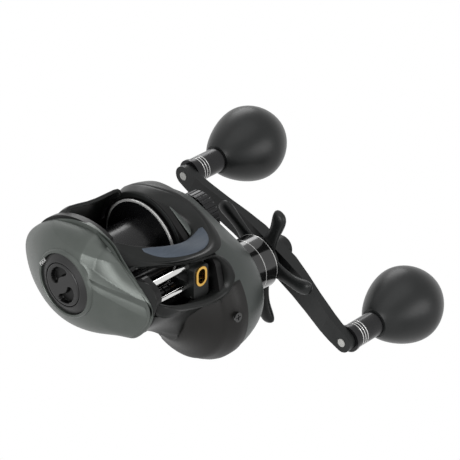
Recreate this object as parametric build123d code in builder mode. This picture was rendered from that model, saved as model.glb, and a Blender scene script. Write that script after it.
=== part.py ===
"""Low-profile baitcasting reel, left-hand crank, as an assembly of separate pieces.

Frame: +X towards the crank, -Y the way the line leaves, +Z up.
Origin: on the reel foot's underside, straight below the middle of the spool.
All sizes are millimetres.
"""
from build123d import *
import os
from math import atan2, cos, degrees, hypot, pi, radians, sin

# ---------------------------------------------------------------- driving dimensions
# spool
spool_height = 25.5            # spool axis above the underside of the foot
spool_flange_r = 20.6
spool_width = 29.5
spool_flange_t = 1.6
spool_arbor_r = 12.8
spool_arbor_wall = 1.3
shaft_r = 2.0                  # spool shaft

# crank drive axis, seen from the spool axis
drive_forward = 21.0
drive_down = 20.8
main_teeth = 65
pinion_teeth = 12
level_module = 0.6             # gears of the level wind
level_drive_teeth = 20
idler_teeth = 18
worm_teeth = 16

# frame
wall_t = 3.0                   # side walls
spool_side_gap = 0.75
spool_rim_gap = 0.5
floor_t = 1.8
foot_length = 56.0
foot_middle_y = 6.5            # the foot reaches further back than forward
foot_width = 13.8
foot_t = 2.4

# casing
shell_t = 1.5
drum_r = 29.2                  # gear side, round the drive axis, at its widest
drum_rim_r = drum_r - 2.0      # at the frame wall
drum_mid_r = drum_r - 1.2
drum_end_r = drum_r - 6.2
front_end_r = drum_r - 6.2     # where the front cover ends, towards the palm side
front_bend_r = drum_r - 2.2    # where the front cover starts to draw in
front_bend_x = 15.5
crown_r = 24.0                 # gear side, round the spool axis, under the hood
crown_mid_r = 18.8
crown_end_r = 12.0
hood_r = 25.4
cover_rim_gap = 0.3            # gear cover's rim to the frame wall
front_seam_x = 22.5            # where the front cover meets the gear cover
cover_wide_x = 23.0
cover_mid_x = 32.0
cover_end_x = 44.5
palm_depth = 12.0              # how far the palm cover stands out from the frame
palm_boss_r = 16.0
dial_r = 9.6
scale_r = 13.4

# line guide
guide_rod_r = 1.25
guide_rod_y = -36.0
upper_rod_z = 33.2
lower_rod_z = 23.6
worm_y = -30.8
worm_z = 22.8
worm_r = 2.0
carriage_width = 8.6
carriage_x = 7.4               # where the carriage stands at rest

# crank
handle_span = 105.0            # knob axis to knob axis
handle_angle = 26.6            # degrees above the level, at rest
arm_end_x = 66.2               # inner face of the arm at the knobs
arm_hub_x = 70.4               # inner face of the arm at the hub
arm_t = 3.8
drive_shaft_r = 3.0
collar_r = 12.3
collar_start_x = 46.2
collar_end_x = 63.4
star_arms = 5
star_r = 30.5
star_phase = 41.5
knob_r = 17.4
knob_centre_x = 110.0
knob_end_x = 128.0
knob_neck_x = 88.0
knob_neck_r = 6.6
sleeve_r = 5.6
spindle_r = 1.9

# running and fitting clearances
run_gap = 0.05                 # shafts and hinge pins, on the radius
fit_gap = 0.3                  # between pieces that pass each other
seat_gap = 0.02                # between pieces that seat on each other

# ---------------------------------------------------------------- places worked out from them
spool_axis = (0.0, spool_height)
drive_axis = (-drive_forward, spool_height - drive_down)
worm_axis = (worm_y, worm_z)
spool_end = spool_width / 2
inner_x = spool_end + spool_side_gap          # inner faces of the frame walls
outer_x = inner_x + wall_t
cover_rim_x = outer_x + cover_rim_gap
centre_distance = hypot(drive_forward, drive_down)
drive_module = 2 * centre_distance / (main_teeth + pinion_teeth)
main_gear_x = 25.0
main_gear_t = 5.0
pinion_x = outer_x + 1.2
pin_x = pinion_x + 1.0
groove_x = 33.2
groove_width = 2.0
pinion_collar_t = 0.8
yoke_travel = 2.2
pinion_bearing_x = groove_x + groove_width + pinion_collar_t + yoke_travel + 0.4


def cross_plane(x, centre=(0.0, 0.0)):
    """Plane square to the spool axis at x: local axes are +Y and +Z, extrusion runs towards the crank."""
    return Plane(origin=(x, centre[0], centre[1]), x_dir=(0, 1, 0), z_dir=(1, 0, 0))


def axle_plane(centre, angle=90.0):
    """Plane through an axle: local x runs along it, local y is the radius at an angle from +Y towards +Z."""
    turn = radians(angle)
    return Plane(origin=(0, centre[0], centre[1]), x_dir=(1, 0, 0), z_dir=(0, -sin(turn), cos(turn)))


def axle(centre):
    return Axis((0, centre[0], centre[1]), (1, 0, 0))


def polar(centre, radius, angle):
    """Point (y, z) at a radius and an angle, counted from +Y towards +Z."""
    return (centre[0] + radius * cos(radians(angle)), centre[1] + radius * sin(radians(angle)))


def turned(centre, profile):
    """Solid of revolution round an axle from (x, radius) points."""
    with BuildPart() as body:
        with BuildSketch(axle_plane(centre)):
            with BuildLine():
                Polyline(*profile, close=True)
            make_face()
        revolve(axis=axle(centre))
    return body.part


def arched(centre, profile, start, sweep):
    """Part of a solid of revolution: starts at an angle and runs from +Y towards +Z."""
    with BuildPart() as body:
        with BuildSketch(axle_plane(centre, start)):
            with BuildLine():
                Polyline(*profile, close=True)
            make_face()
        revolve(axis=axle(centre), revolution_arc=sweep)
    return body.part


def tube(centre, x_from, x_to, outer, inner=0.0):
    """Plain round bar or tube along an axle."""
    with BuildPart() as body:
        with BuildSketch(cross_plane(x_from, centre)):
            Circle(outer)
            if inner > 0:
                Circle(inner, mode=Mode.SUBTRACT)
        extrude(amount=x_to - x_from)
    return body.part


def save(part, name):
    part.label = name
    export_step(part, f"parts/{name}.step")


os.makedirs("parts", exist_ok=True)


# ---------------------------------------------------------------- gears
def gear_sketch(teeth, module, phase, bore):
    """Flat gear: a root disc and one trapezoid for each tooth, the first tooth at the phase angle."""
    pitch_r = teeth * module / 2
    root_r = pitch_r - 1.1 * module
    tip = 0.75 * module
    half_root = 0.95 * module
    half_tip = 0.30 * module
    with BuildSketch(mode=Mode.PRIVATE) as flat:
        Circle(root_r)
        with PolarLocations(pitch_r, teeth, start_angle=phase):
            Polygon(
                (-1.3 * module, -half_root),
                (tip, -half_tip),
                (tip, half_tip),
                (-1.3 * module, half_root),
                align=None,
            )
        Circle(bore, mode=Mode.SUBTRACT)
    return flat.sketch


def gear(centre, x_from, x_to, teeth, module, phase, bore):
    with BuildPart() as wheel:
        with BuildSketch(cross_plane(x_from, centre)):
            add(gear_sketch(teeth, module, phase, bore))
        extrude(amount=x_to - x_from)
    return wheel.part


def meshed_phase(teeth_a, phase_a, centre_a, teeth_b, centre_b):
    """Angle of wheel b's first tooth that puts it in mesh with wheel a."""
    line = degrees(atan2(centre_b[1] - centre_a[1], centre_b[0] - centre_a[0]))
    return line + 180 + 180 / teeth_b - (phase_a - line) * teeth_a / teeth_b


def third_corner(a, b, from_a, from_b):
    """Point at two given distances from a and b, on the front side of the line a-b."""
    span = hypot(b[0] - a[0], b[1] - a[1])
    along = (from_a**2 - from_b**2 + span**2) / (2 * span)
    off = (from_a**2 - along**2) ** 0.5
    ux, uz = (b[0] - a[0]) / span, (b[1] - a[1]) / span
    return (a[0] + along * ux - off * uz, a[1] + along * uz + off * ux)


level_drive_r = level_drive_teeth * level_module / 2
idler_r = idler_teeth * level_module / 2
worm_gear_r = worm_teeth * level_module / 2
idler_axis = third_corner(drive_axis, worm_axis, level_drive_r + idler_r, worm_gear_r + idler_r)
main_phase = 0.0
pinion_phase = meshed_phase(main_teeth, main_phase, drive_axis, pinion_teeth, spool_axis)
level_drive_phase = 0.0
idler_phase = meshed_phase(level_drive_teeth, level_drive_phase, drive_axis, idler_teeth, idler_axis)
worm_gear_phase = meshed_phase(idler_teeth, idler_phase, idler_axis, worm_teeth, worm_axis)


# ---------------------------------------------------------------- outlines of the casing
def palm_outline(shrink, centre=(-2.0, 23.5)):
    """Egg-shaped outline of the palm side, drawn in by a fraction towards its middle."""
    rim = [
        (33.0, 27.0),
        (28.5, 39.5),
        (17.0, 48.0),
        (3.0, 51.0),
        (-11.0, 48.8),
        (-22.0, 42.5),
        (-31.5, 33.0),
        (-38.5, 22.5),
        (-34.5, 11.5),
        (-24.0, 6.2),
        (-12.0, 2.7),
        (1.0, 1.7),
        (15.0, 4.4),
        (27.0, 12.0),
    ]
    return [
        (y + (centre[0] - y) * shrink, z + (centre[1] - z) * shrink)
        for y, z in rim
    ]


def palm_face(x, shrink):
    with BuildSketch(cross_plane(x), mode=Mode.PRIVATE) as face:
        with BuildLine():
            Spline(*palm_outline(shrink), periodic=True)
        make_face()
    return face.sketch


def two_drum_outline(drum, crown):
    """Taut outline round the drive axis and the spool axis."""
    with BuildSketch(mode=Mode.PRIVATE) as face:
        with Locations(drive_axis):
            Circle(drum)
        with Locations(spool_axis):
            Circle(crown)
        make_hull()
    return face.sketch


def two_drum_face(x, drum, crown):
    with BuildSketch(cross_plane(x), mode=Mode.PRIVATE) as face:
        with Locations(drive_axis):
            Circle(drum)
        with Locations(spool_axis):
            Circle(crown)
        make_hull()
    return face.sketch


# ---------------------------------------------------------------- spool group
bearing_r = 5.5
left_bearing_r = 4.0
left_journal_r = 1.5
left_hub_r = 5.2
left_hub_end = -13.2
rotor_t = 1.2


def make_spool():
    e = spool_end
    inner_r = spool_arbor_r - spool_arbor_wall
    hub_r = shaft_r + 2.2
    hub_half = 9.0
    web_half = 1.0
    bore = shaft_r + seat_gap
    part = turned(
        spool_axis,
        [
            (-e, spool_flange_r),
            (-e + spool_flange_t, spool_flange_r),
            (-e + spool_flange_t + 0.8, spool_arbor_r),
            (e - spool_flange_t - 0.8, spool_arbor_r),
            (e - spool_flange_t, spool_flange_r),
            (e, spool_flange_r),
            (e, inner_r),
            (web_half, inner_r),
            (web_half, hub_r),
            (hub_half, hub_r),
            (hub_half, bore),
            (-hub_half, bore),
            (-hub_half, hub_r),
            (-web_half, hub_r),
            (-web_half, inner_r),
            (-e, inner_r),
        ],
    )
    save(part, "spool")


def make_spool_shaft():
    step_x = -10.0
    left_end = -inner_x - wall_t - 1.0
    right_end = cover_end_x + 1.3
    part = turned(
        spool_axis,
        [
            (left_end, 0),
            (left_end, left_journal_r),
            (step_x, left_journal_r),
            (step_x, shaft_r),
            (right_end, shaft_r),
            (right_end + 0.6, shaft_r - 0.8),
            (right_end + 0.6, 0),
        ],
    )
    with BuildPart() as spool_shaft:
        add(part)
        with BuildSketch(Plane.XY.offset(spool_height)):
            with Locations((pin_x, 0)):
                Circle(pin_r + seat_gap)
        extrude(amount=shaft_r + 1, both=True, mode=Mode.SUBTRACT)
    save(spool_shaft.part, "spool_shaft")


pin_r = 0.8
pin_length = 7.0


def make_cross_pin():
    with BuildPart() as cross_pin:
        with BuildSketch(Plane.XY.offset(spool_height)):
            with Locations((pin_x, 0)):
                Circle(pin_r)
        extrude(amount=pin_length / 2, both=True)
    save(cross_pin.part, "cross_pin")


def make_spool_bearings():
    """Left bearing in the brake housing, right bearing in the frame wall."""
    with BuildPart() as spool_bearings:
        add(tube(spool_axis, -outer_x - 0.7, -inner_x - 0.7, left_bearing_r, left_journal_r + seat_gap))
        add(tube(spool_axis, inner_x + 0.2, outer_x - 0.3, bearing_r, shaft_r + seat_gap))
    save(spool_bearings.part, "spool_bearings")


def make_brake_rotor():
    outer = spool_arbor_r - spool_arbor_wall - seat_gap
    save(tube(spool_axis, -spool_end + 1.0, -spool_end + 8.0, outer, outer - rotor_t), "brake_rotor")


# ---------------------------------------------------------------- brake
peg_r = 1.2
peg_orbit = 7.6
dial_range = 110.0
housing_r = spool_flange_r + spool_rim_gap - 0.3
dial_face_x = -32.2
dial_back_x = -29.6
dial_plate_x = -21.6
magnet_r = 1.3
magnet_count = 8


def make_brake_housing():
    """Disc that closes the palm side of the frame and carries the left spool bearing."""
    flange_x = -outer_x - 1.3
    face_x = -inner_x - 0.9
    with BuildPart() as brake_housing:
        add(tube(spool_axis, flange_x, -outer_x - seat_gap, housing_r + 0.7, left_bearing_r))
        add(tube(spool_axis, -outer_x - seat_gap, face_x, housing_r, left_bearing_r))
        add(tube(spool_axis, flange_x, left_hub_end, left_hub_r, left_bearing_r))
        with BuildSketch(cross_plane(flange_x, spool_axis)):
            Circle(left_bearing_r + seat_gap)
        extrude(amount=left_hub_end - flange_x, mode=Mode.SUBTRACT)
        slot_half = degrees(peg_r / peg_orbit) + 2.0
        with BuildSketch(cross_plane(flange_x, spool_axis)):
            for start in (0, 180):
                with BuildLine():
                    CenterArc((0, 0), peg_orbit - peg_r - fit_gap, start - slot_half, dial_range + 2 * slot_half)
                    CenterArc((0, 0), peg_orbit + peg_r + fit_gap, start - slot_half, dial_range + 2 * slot_half)
                    for angle in (start - slot_half, start + dial_range + slot_half):
                        Line(
                            polar((0, 0), peg_orbit - peg_r - fit_gap, angle),
                            polar((0, 0), peg_orbit + peg_r + fit_gap, angle),
                        )
                make_face()
        extrude(amount=face_x - flange_x, mode=Mode.SUBTRACT)
    save(brake_housing.part, "brake_housing")


def make_magnet_holder():
    """Ring that turns on the housing's hub, driven by two pegs of its own."""
    with BuildPart() as magnet_holder:
        add(tube(spool_axis, -inner_x - 0.6, left_hub_end, 9.4, left_hub_r + run_gap))
        with BuildSketch(cross_plane(dial_plate_x + seat_gap, spool_axis)):
            with PolarLocations(peg_orbit, 2):
                Circle(peg_r)
        extrude(amount=-inner_x - 0.6 - dial_plate_x - seat_gap)
    save(magnet_holder.part, "magnet_holder")


def make_brake_magnets():
    with BuildPart() as brake_magnets:
        with BuildSketch(cross_plane(left_hub_end + seat_gap, spool_axis)):
            with PolarLocations(peg_orbit, magnet_count, start_angle=22.5):
                Circle(magnet_r)
        extrude(amount=3.0)
    save(brake_magnets.part, "brake_magnets")


def make_brake_dial():
    """Finger dial with two crescent recesses, its stem and the plate that turns the magnet holder."""
    with BuildPart() as brake_dial:
        add(
            turned(
                spool_axis,
                [
                    (dial_face_x, 0),
                    (dial_face_x, dial_r - 0.6),
                    (dial_face_x + 0.6, dial_r),
                    (dial_back_x, dial_r),
                    (dial_back_x, 2.6),
                    (dial_plate_x - 1.4, 2.6),
                    (dial_plate_x - 1.4, 9.2),
                    (dial_plate_x, 9.2),
                    (dial_plate_x, 0),
                ],
            )
        )
        with BuildSketch(cross_plane(dial_face_x, spool_axis)):
            Circle(dial_r - 1.7)
            Rectangle(3.4, 2 * dial_r, rotation=-50, mode=Mode.SUBTRACT)
        extrude(amount=1.5, mode=Mode.SUBTRACT)
    save(brake_dial.part, "brake_dial")


def make_brake_scale_ring():
    inner = dial_r + fit_gap
    part = turned(
        spool_axis,
        [
            (dial_face_x + 0.3, inner),
            (dial_face_x + 0.3, inner + 0.5),
            (dial_face_x + 1.6, scale_r),
            (dial_back_x + 1.0, scale_r),
            (dial_back_x + 1.0, inner),
        ],
    )
    save(part, "brake_scale_ring")


# ---------------------------------------------------------------- palm side
palm_rim_x = -outer_x - 0.3
notch_corners = [(-16.6, 54.0), (-17.6, 42.0), (-20.9, 36.0), (-31.0, 31.0), (-38.6, 26.8), (-60.0, 24.0), (-60.0, 54.0)]
wall_notch = [(-12.6, 54.0), (-13.6, 45.5), (-16.2, 39.6), (-19.8, 33.2), (-29.5, 29.9), (-32.4, 35.8), (-45.0, 35.8), (-45.0, 54.0)]
palm_top_x = palm_rim_x - palm_depth


def palm_block(wall):
    """Domed body of the palm cover, drawn in by a wall."""
    inset = wall / 32.0
    with BuildPart() as block:
        loft(
            sections=[
                palm_face(palm_rim_x + (0.01 if wall else 0.0), inset),
                palm_face(palm_rim_x - palm_depth * 0.42 + wall * 0.3, 0.07 + inset),
                palm_face(palm_rim_x - palm_depth * 0.80 + wall * 0.8, 0.30 + inset),
                palm_face(palm_top_x + wall, 0.46 + inset),
            ]
        )
    return block.part


def corner_block(corners, x_from, x_to, spread):
    """Block over the front corner that the hood reaches into, grown by a wall or a clearance."""
    with BuildPart() as block:
        with BuildSketch(cross_plane(x_from)):
            with BuildLine():
                Polyline(*corners, close=True)
            make_face()
            if spread:
                offset(amount=spread)
        extrude(amount=x_to - x_from)
    return block.part


def palm_shell():
    """Domed body with the hood's corner taken out, and a wall behind the corner."""
    with BuildPart() as inside:
        add(palm_block(shell_t))
        add(corner_block(notch_corners, -3 * outer_x, -inner_x, shell_t), mode=Mode.SUBTRACT)
    with BuildPart() as shell:
        add(palm_block(0.0))
        add(corner_block(notch_corners, -3 * outer_x, -inner_x, 0.0), mode=Mode.SUBTRACT)
        add(inside.part, mode=Mode.SUBTRACT)
    return shell.part


def palm_bosses():
    """Screw bosses that run from the rim into the dome."""
    with BuildPart() as bosses:
        with BuildSketch(cross_plane(palm_rim_x)):
            with Locations(*palm_screw_places):
                Circle(2.6)
        extrude(amount=-palm_depth)
        add(palm_block(0.0), mode=Mode.INTERSECT)
    return bosses.part


def make_palm_cover():
    with BuildPart() as palm_cover:
        add(palm_shell())
        with BuildSketch(cross_plane(palm_top_x - 1.0, spool_axis)):
            Circle(scale_r + 1.5)
        extrude(amount=3.4)
        with BuildSketch(cross_plane(palm_top_x - 2.0, spool_axis)):
            Circle(scale_r + seat_gap)
        extrude(amount=6.0, mode=Mode.SUBTRACT)
        add(palm_bosses())
        with BuildSketch(cross_plane(palm_rim_x)):
            with Locations(*palm_screw_places):
                Circle(screw_r + seat_gap)
        extrude(amount=-palm_screw_depth, mode=Mode.SUBTRACT)
    save(palm_cover.part, "palm_cover")


screw_r = 1.25
palm_screw_places = [polar(spool_axis, 25.2, 200), polar(spool_axis, 25.6, 300), polar(spool_axis, 26.0, 20)]
palm_screw_depth = 4.5


def make_palm_cover_screws():
    """Screws from inside the frame wall into the bosses of the palm cover."""
    with BuildPart() as palm_cover_screws:
        with BuildSketch(cross_plane(-inner_x)):
            with Locations(*palm_screw_places):
                Circle(2.2)
        extrude(amount=-1.2)
        with BuildSketch(cross_plane(-inner_x - 1.2)):
            with Locations(*palm_screw_places):
                Circle(screw_r)
        extrude(amount=-(palm_screw_depth + wall_t - 1.2))
    save(palm_cover_screws.part, "palm_cover_screws")


# ---------------------------------------------------------------- frame and foot
horn_centre = (guide_rod_y + 1.0, 28.5)
horn_r = 7.0
wall_crown_r = 23.6
idler_stub_r = 1.6
foot_screw_y = (-8.0, 18.0)
floor_y = (-16.0, 22.0)
thumb_angle = 40.0
thumb_travel = 4.0
thumb_start = -13.0            # the bar's arc, from the slide's middle
thumb_sweep = 28.0
thumb_t = 3.8
thumb_inner_r = spool_flange_r + 1.6
thumb_outer_r = thumb_inner_r + thumb_t
thumb_right_x = 12.4
thumb_slide = (sin(radians(thumb_angle)), -cos(radians(thumb_angle)))
tongue_width = 1.4
tongue_r = thumb_inner_r - 0.5
post_orbit = 10.4
post_angles = (15.0, 105.0)
post_r = 1.4
left_wall_shrink = 0.05
rear_stretcher = ((24.0, 17.0), (2.6, 13.0))      # middle and size of each bar between the walls
front_stretcher = ((-26.0, 8.5), (2.4, 7.0))
tie_rod_r = 1.9
tie_rod_place = (24.6, 172.0)                      # orbit round the spool and angle


def rod_places():
    return [(guide_rod_y, upper_rod_z), (guide_rod_y, lower_rod_z)]


def tongue_slot(extra):
    """Slot along the thumb bar's slide, with room for the whole travel."""
    start = polar(spool_axis, tongue_r, thumb_angle)
    middle = (start[0] + thumb_slide[0] * thumb_travel / 2, start[1] + thumb_slide[1] * thumb_travel / 2)
    return middle, thumb_travel + tongue_length + 2 * extra


tongue_length = 2.6


def crank_wall_outline(spread):
    """Outline of the crank-side wall, spread outwards: drum and crown, and drum and the horn for the guide rods."""
    with BuildSketch(mode=Mode.PRIVATE) as crown_part:
        with Locations(drive_axis):
            Circle(drum_rim_r - shell_t - fit_gap + spread)
        with Locations(spool_axis):
            Circle(wall_crown_r + spread)
        make_hull()
    with BuildSketch(mode=Mode.PRIVATE) as face:
        with Locations(drive_axis):
            Circle(drum_rim_r - shell_t - fit_gap + spread)
        with Locations(horn_centre):
            Circle(horn_r + spread)
        make_hull()
        add(crown_part.sketch)
    return face.sketch


def make_frame():
    with BuildPart() as frame:
        with BuildSketch(cross_plane(inner_x)):
            add(crank_wall_outline(0))
        extrude(amount=wall_t)
        with BuildSketch(cross_plane(-outer_x)):
            with BuildLine():
                Spline(*palm_outline(left_wall_shrink), periodic=True)
            make_face()
        extrude(amount=wall_t)
        with BuildSketch(cross_plane(-outer_x)):
            with Locations(horn_centre):
                Circle(horn_r - 1.0)
            with Locations(spool_axis):
                Circle(spool_flange_r + 3.0)
            make_hull()
        extrude(amount=wall_t)
        add(corner_block(wall_notch, -outer_x - 1, -inner_x + 0.01, 0.0), mode=Mode.SUBTRACT)
        with BuildSketch(Plane.XY.offset(foot_t + seat_gap)):
            with Locations((0, (floor_y[0] + floor_y[1]) / 2)):
                Rectangle(2 * outer_x, floor_y[1] - floor_y[0])
        extrude(amount=floor_t)
        with BuildSketch(cross_plane(-outer_x)):
            for middle, size in (rear_stretcher, front_stretcher):
                with Locations(middle):
                    Rectangle(*size)
            with Locations(polar(spool_axis, *tie_rod_place)):
                Circle(tie_rod_r)
        extrude(amount=2 * outer_x)
        with BuildSketch(cross_plane(-outer_x - 1)):
            with Locations(spool_axis):
                Circle(spool_flange_r + spool_rim_gap)
        extrude(amount=wall_t + 1, mode=Mode.SUBTRACT)
        with BuildSketch(cross_plane(-outer_x - 1)):
            with Locations(*rod_places()):
                Circle(guide_rod_r + seat_gap)
            with Locations(worm_axis):
                Circle(worm_r + run_gap)
        extrude(amount=2 * outer_x + 2, mode=Mode.SUBTRACT)
        with BuildSketch(cross_plane(-outer_x - 1)):
            with Locations(*palm_screw_places):
                Circle(screw_r + seat_gap)
        extrude(amount=wall_t + 2, mode=Mode.SUBTRACT)
        with BuildSketch(cross_plane(-inner_x + 0.5)):
            with Locations(*palm_screw_places):
                Circle(2.2 + seat_gap)
        extrude(amount=-1.7 - seat_gap, mode=Mode.SUBTRACT)
        with BuildSketch(cross_plane(inner_x - 1)):
            with Locations(spool_axis, drive_axis):
                Circle(bearing_r + seat_gap)
            with Locations(idler_axis):
                Circle(idler_stub_r - 0.1)
            with Locations(*[polar(spool_axis, post_orbit, a) for a in post_angles]):
                Circle(post_r + seat_gap)
            middle, length = tongue_slot(fit_gap)
            with Locations(middle):
                Rectangle(tongue_width + 2 * fit_gap, length, rotation=thumb_angle)
        extrude(amount=wall_t + 2, mode=Mode.SUBTRACT)
        with BuildSketch(Plane.XY.offset(foot_t)):
            with Locations(*[(0, y) for y in foot_screw_y]):
                Circle(screw_r + seat_gap)
        extrude(amount=floor_t + 1, mode=Mode.SUBTRACT)
        with BuildSketch(cross_plane(outer_x)):
            with Locations(idler_axis):
                Circle(idler_stub_r)
        extrude(amount=3.2)
    save(frame.part, "frame")


def make_reel_foot():
    """Standard reel foot, thinned towards both ends to slip under a reel seat's hoods."""
    half = foot_length / 2
    tip_t = 0.9
    taper = 12.0
    with BuildPart() as reel_foot:
        with BuildSketch(Plane.XY):
            with Locations((0, foot_middle_y)):
                SlotOverall(foot_length, foot_width, rotation=90)
        extrude(amount=foot_t)
        with BuildSketch(Plane.YZ):
            for side in (-1, 1):
                tip_y = foot_middle_y + side * (half + 1)
                flat_y = foot_middle_y + side * (half - taper)
                with BuildLine():
                    Polyline((tip_y, tip_t), (flat_y, foot_t), (flat_y, foot_t + 1), (tip_y, foot_t + 1), close=True)
                make_face()
        extrude(amount=foot_width, both=True, mode=Mode.SUBTRACT)
        with BuildSketch(Plane.XY):
            with Locations(*[(0, y) for y in foot_screw_y]):
                Circle(screw_r + seat_gap)
        extrude(amount=foot_t, mode=Mode.SUBTRACT)
        with BuildSketch(Plane.XY):
            with Locations(*[(0, y) for y in foot_screw_y]):
                Circle(2.2 + seat_gap)
        extrude(amount=1.2, mode=Mode.SUBTRACT)
    save(reel_foot.part, "reel_foot")


def make_foot_screws():
    with BuildPart() as foot_screws:
        with BuildSketch(Plane.XY.offset(0.1)):
            with Locations(*[(0, y) for y in foot_screw_y]):
                Circle(2.2)
        extrude(amount=1.1)
        with BuildSketch(Plane.XY.offset(1.2)):
            with Locations(*[(0, y) for y in foot_screw_y]):
                Circle(screw_r)
        extrude(amount=foot_t + floor_t - 1.2)
    save(foot_screws.part, "foot_screws")


# ---------------------------------------------------------------- hood, mouth and front cover
hood_t = 1.6
hood_start_x = inner_x - 2.6
hood_rear_angle = 48.0
hood_end_x = 28.4
hood_crest_x = 21.5
hood_slope = 1.7               # how much the band drops from its crest to its rim
# bar in front of the spool: X, then its back edge, crest and front rim
bar_stations = [
    (-18.2, (-15.4, 46.0), (-17.8, 41.2), (-21.2, 34.6)),
    (-14.0, (-17.1, 44.0), (-22.2, 38.8), (-24.3, 35.8)),
    (-8.0, (-21.3, 42.1), (-26.9, 37.0), (-29.1, 36.2)),
    (-2.0, (-25.2, 40.8), (-31.3, 37.0), (-34.3, 36.8)),
    (4.0, (-27.4, 40.0), (-36.3, 37.6), (-38.3, 37.4)),
    (10.0, (-27.6, 39.0), (-38.9, 37.8), (-40.8, 37.2)),
    (18.3, (-25.4, 38.4), (-38.8, 38.2), (-41.4, 36.8)),
]
bar_t = 1.4
# what is cut from the hood over the crank wall, to open it above the spool
crank_opening = [
    (-9.0, 60.0), (-9.0, 47.4), (-13.0, 45.0), (-19.8, 40.4), (-25.4, 38.3), (-46.0, 38.2), (-46.0, 60.0),
]
# how far each place along the hood's front corner reaches towards the crank
corner_plan = [
    (30.0, -26.0), (28.4, -28.0), (26.5, -34.3), (23.5, -38.8), (20.0, -41.6), (19.0, -60.0), (40.0, -60.0), (40.0, -26.0),
]
mouth_centre = (1.6, -38.4, 29.2)
mouth_normal = (-0.251, -0.822, 0.511)
# outline of the mouth in its own plane, towards the crank and up
mouth_outline = [
    (-24.0, 9.6), (-17.4, 9.9), (-11.2, 9.1), (-5.8, 7.9), (0.8, 7.3), (8.4, 7.1), (15.4, 6.6), (19.2, 2.8),
    (21.0, -1.2), (21.4, -4.8), (20.6, -8.2), (17.0, -10.6), (8.2, -11.5), (-1.9, -11.1), (-9.9, -9.6),
    (-16.3, -6.6), (-20.0, -3.0), (-22.8, 2.2),
]
mouth_inner = (0.89, 0.76)       # the opening's width and height, of the lip's
mouth_depth = 4.6


chin_end_x = 11.0
chin = [(-41.0, 15.2), (-35.4, 9.6), (-36.2, 8.8), (-42.4, 14.4)]
front_cover_arc = (163.0, 129.0)
front_screw_angle = 174.0
front_screw_x = 19.6


def mouth_plane():
    """Plane of the mouth's lip, which faces forwards and up, and lies further back on the palm side."""
    nx, ny, nz = mouth_normal
    return Plane(origin=mouth_centre, x_dir=(-ny, nx, 0), z_dir=(nx, ny, nz))


def hood_band():
    """Band over the crank side, from behind the spool over the top to the front corner."""
    rear = polar(spool_axis, 3 * hood_r, hood_rear_angle)
    with BuildPart() as band:
        with BuildSketch(cross_plane(hood_start_x)):
            with Locations(spool_axis):
                Circle(hood_r)
            with Locations(horn_centre):
                Circle(horn_r + hood_t + fit_gap)
            make_hull()
            with BuildLine():
                Polyline(spool_axis, rear, (-60.0, rear[1]), (-60.0, 18.0), (-30.0, 18.0), close=True)
            make_face(mode=Mode.INTERSECT)
        extrude(amount=hood_end_x - hood_start_x)
        slope = [
            (hood_crest_x, hood_r),
            (hood_end_x + 1, hood_r - hood_slope * 1.1),
            (hood_end_x + 1, 2 * hood_r),
            (hood_crest_x, 2 * hood_r),
        ]
        add(arched(spool_axis, slope, hood_rear_angle - 10, 76.0), mode=Mode.SUBTRACT)
        with BuildSketch(cross_plane(outer_x - 0.1)):
            with Locations((-40.0, 0.0)):
                Rectangle(80.0, 69.0)
        extrude(amount=20.0, mode=Mode.SUBTRACT)
        with BuildSketch(Plane.XY):
            with BuildLine():
                Polyline(*corner_plan, close=True)
            make_face()
        extrude(amount=60.0, mode=Mode.SUBTRACT)
        add(corner_block(crank_opening, hood_start_x - 1, outer_x + 0.1, 0.0), mode=Mode.SUBTRACT)
    return band.part


def mouth_lip():
    with BuildPart() as lip:
        with BuildSketch(mouth_plane()):
            with BuildLine():
                Polyline(*mouth_outline, close=True)
            make_face()
            with BuildLine():
                Polyline(*[(x * mouth_inner[0], y * mouth_inner[1]) for x, y in mouth_outline], close=True)
            make_face(mode=Mode.SUBTRACT)
        extrude(amount=-mouth_depth)
        with BuildSketch(cross_plane(-inner_x + fit_gap)):
            Rectangle(200, 200)
        extrude(amount=-20, mode=Mode.SUBTRACT)
        with BuildSketch(cross_plane(-inner_x)):
            with Locations((-16.0, 17.0)):
                Rectangle(34.0, 33.0)
        extrude(amount=inner_x, mode=Mode.SUBTRACT)
    return lip.part


def bar_part(sections):
    """Ruled body through sections square to X, each an X and its corners."""
    faces = []
    for x, corners in sections:
        with BuildSketch(cross_plane(x), mode=Mode.PRIVATE) as face:
            with BuildLine():
                Polyline(*corners, close=True)
            make_face()
        faces.append(face.sketch)
    with BuildPart() as body:
        loft(sections=faces, ruled=True)
    return body.part


def hood_bar():
    """Sloping bar from the palm side to the crank side, in front of the spool."""
    sections = []
    for x, (edge_y, edge_z), (crest_y, crest_z), (rim_y, rim_z) in bar_stations:
        under = [
            (rim_y + 0.4 * bar_t, rim_z - 0.7 * bar_t),
            (crest_y + 0.7 * bar_t, crest_z - bar_t),
            (edge_y + 0.7 * bar_t, edge_z - bar_t),
        ]
        sections.append((x, [(edge_y, edge_z), (crest_y, crest_z), (rim_y, rim_z)] + under))
    return bar_part(sections)


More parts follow.
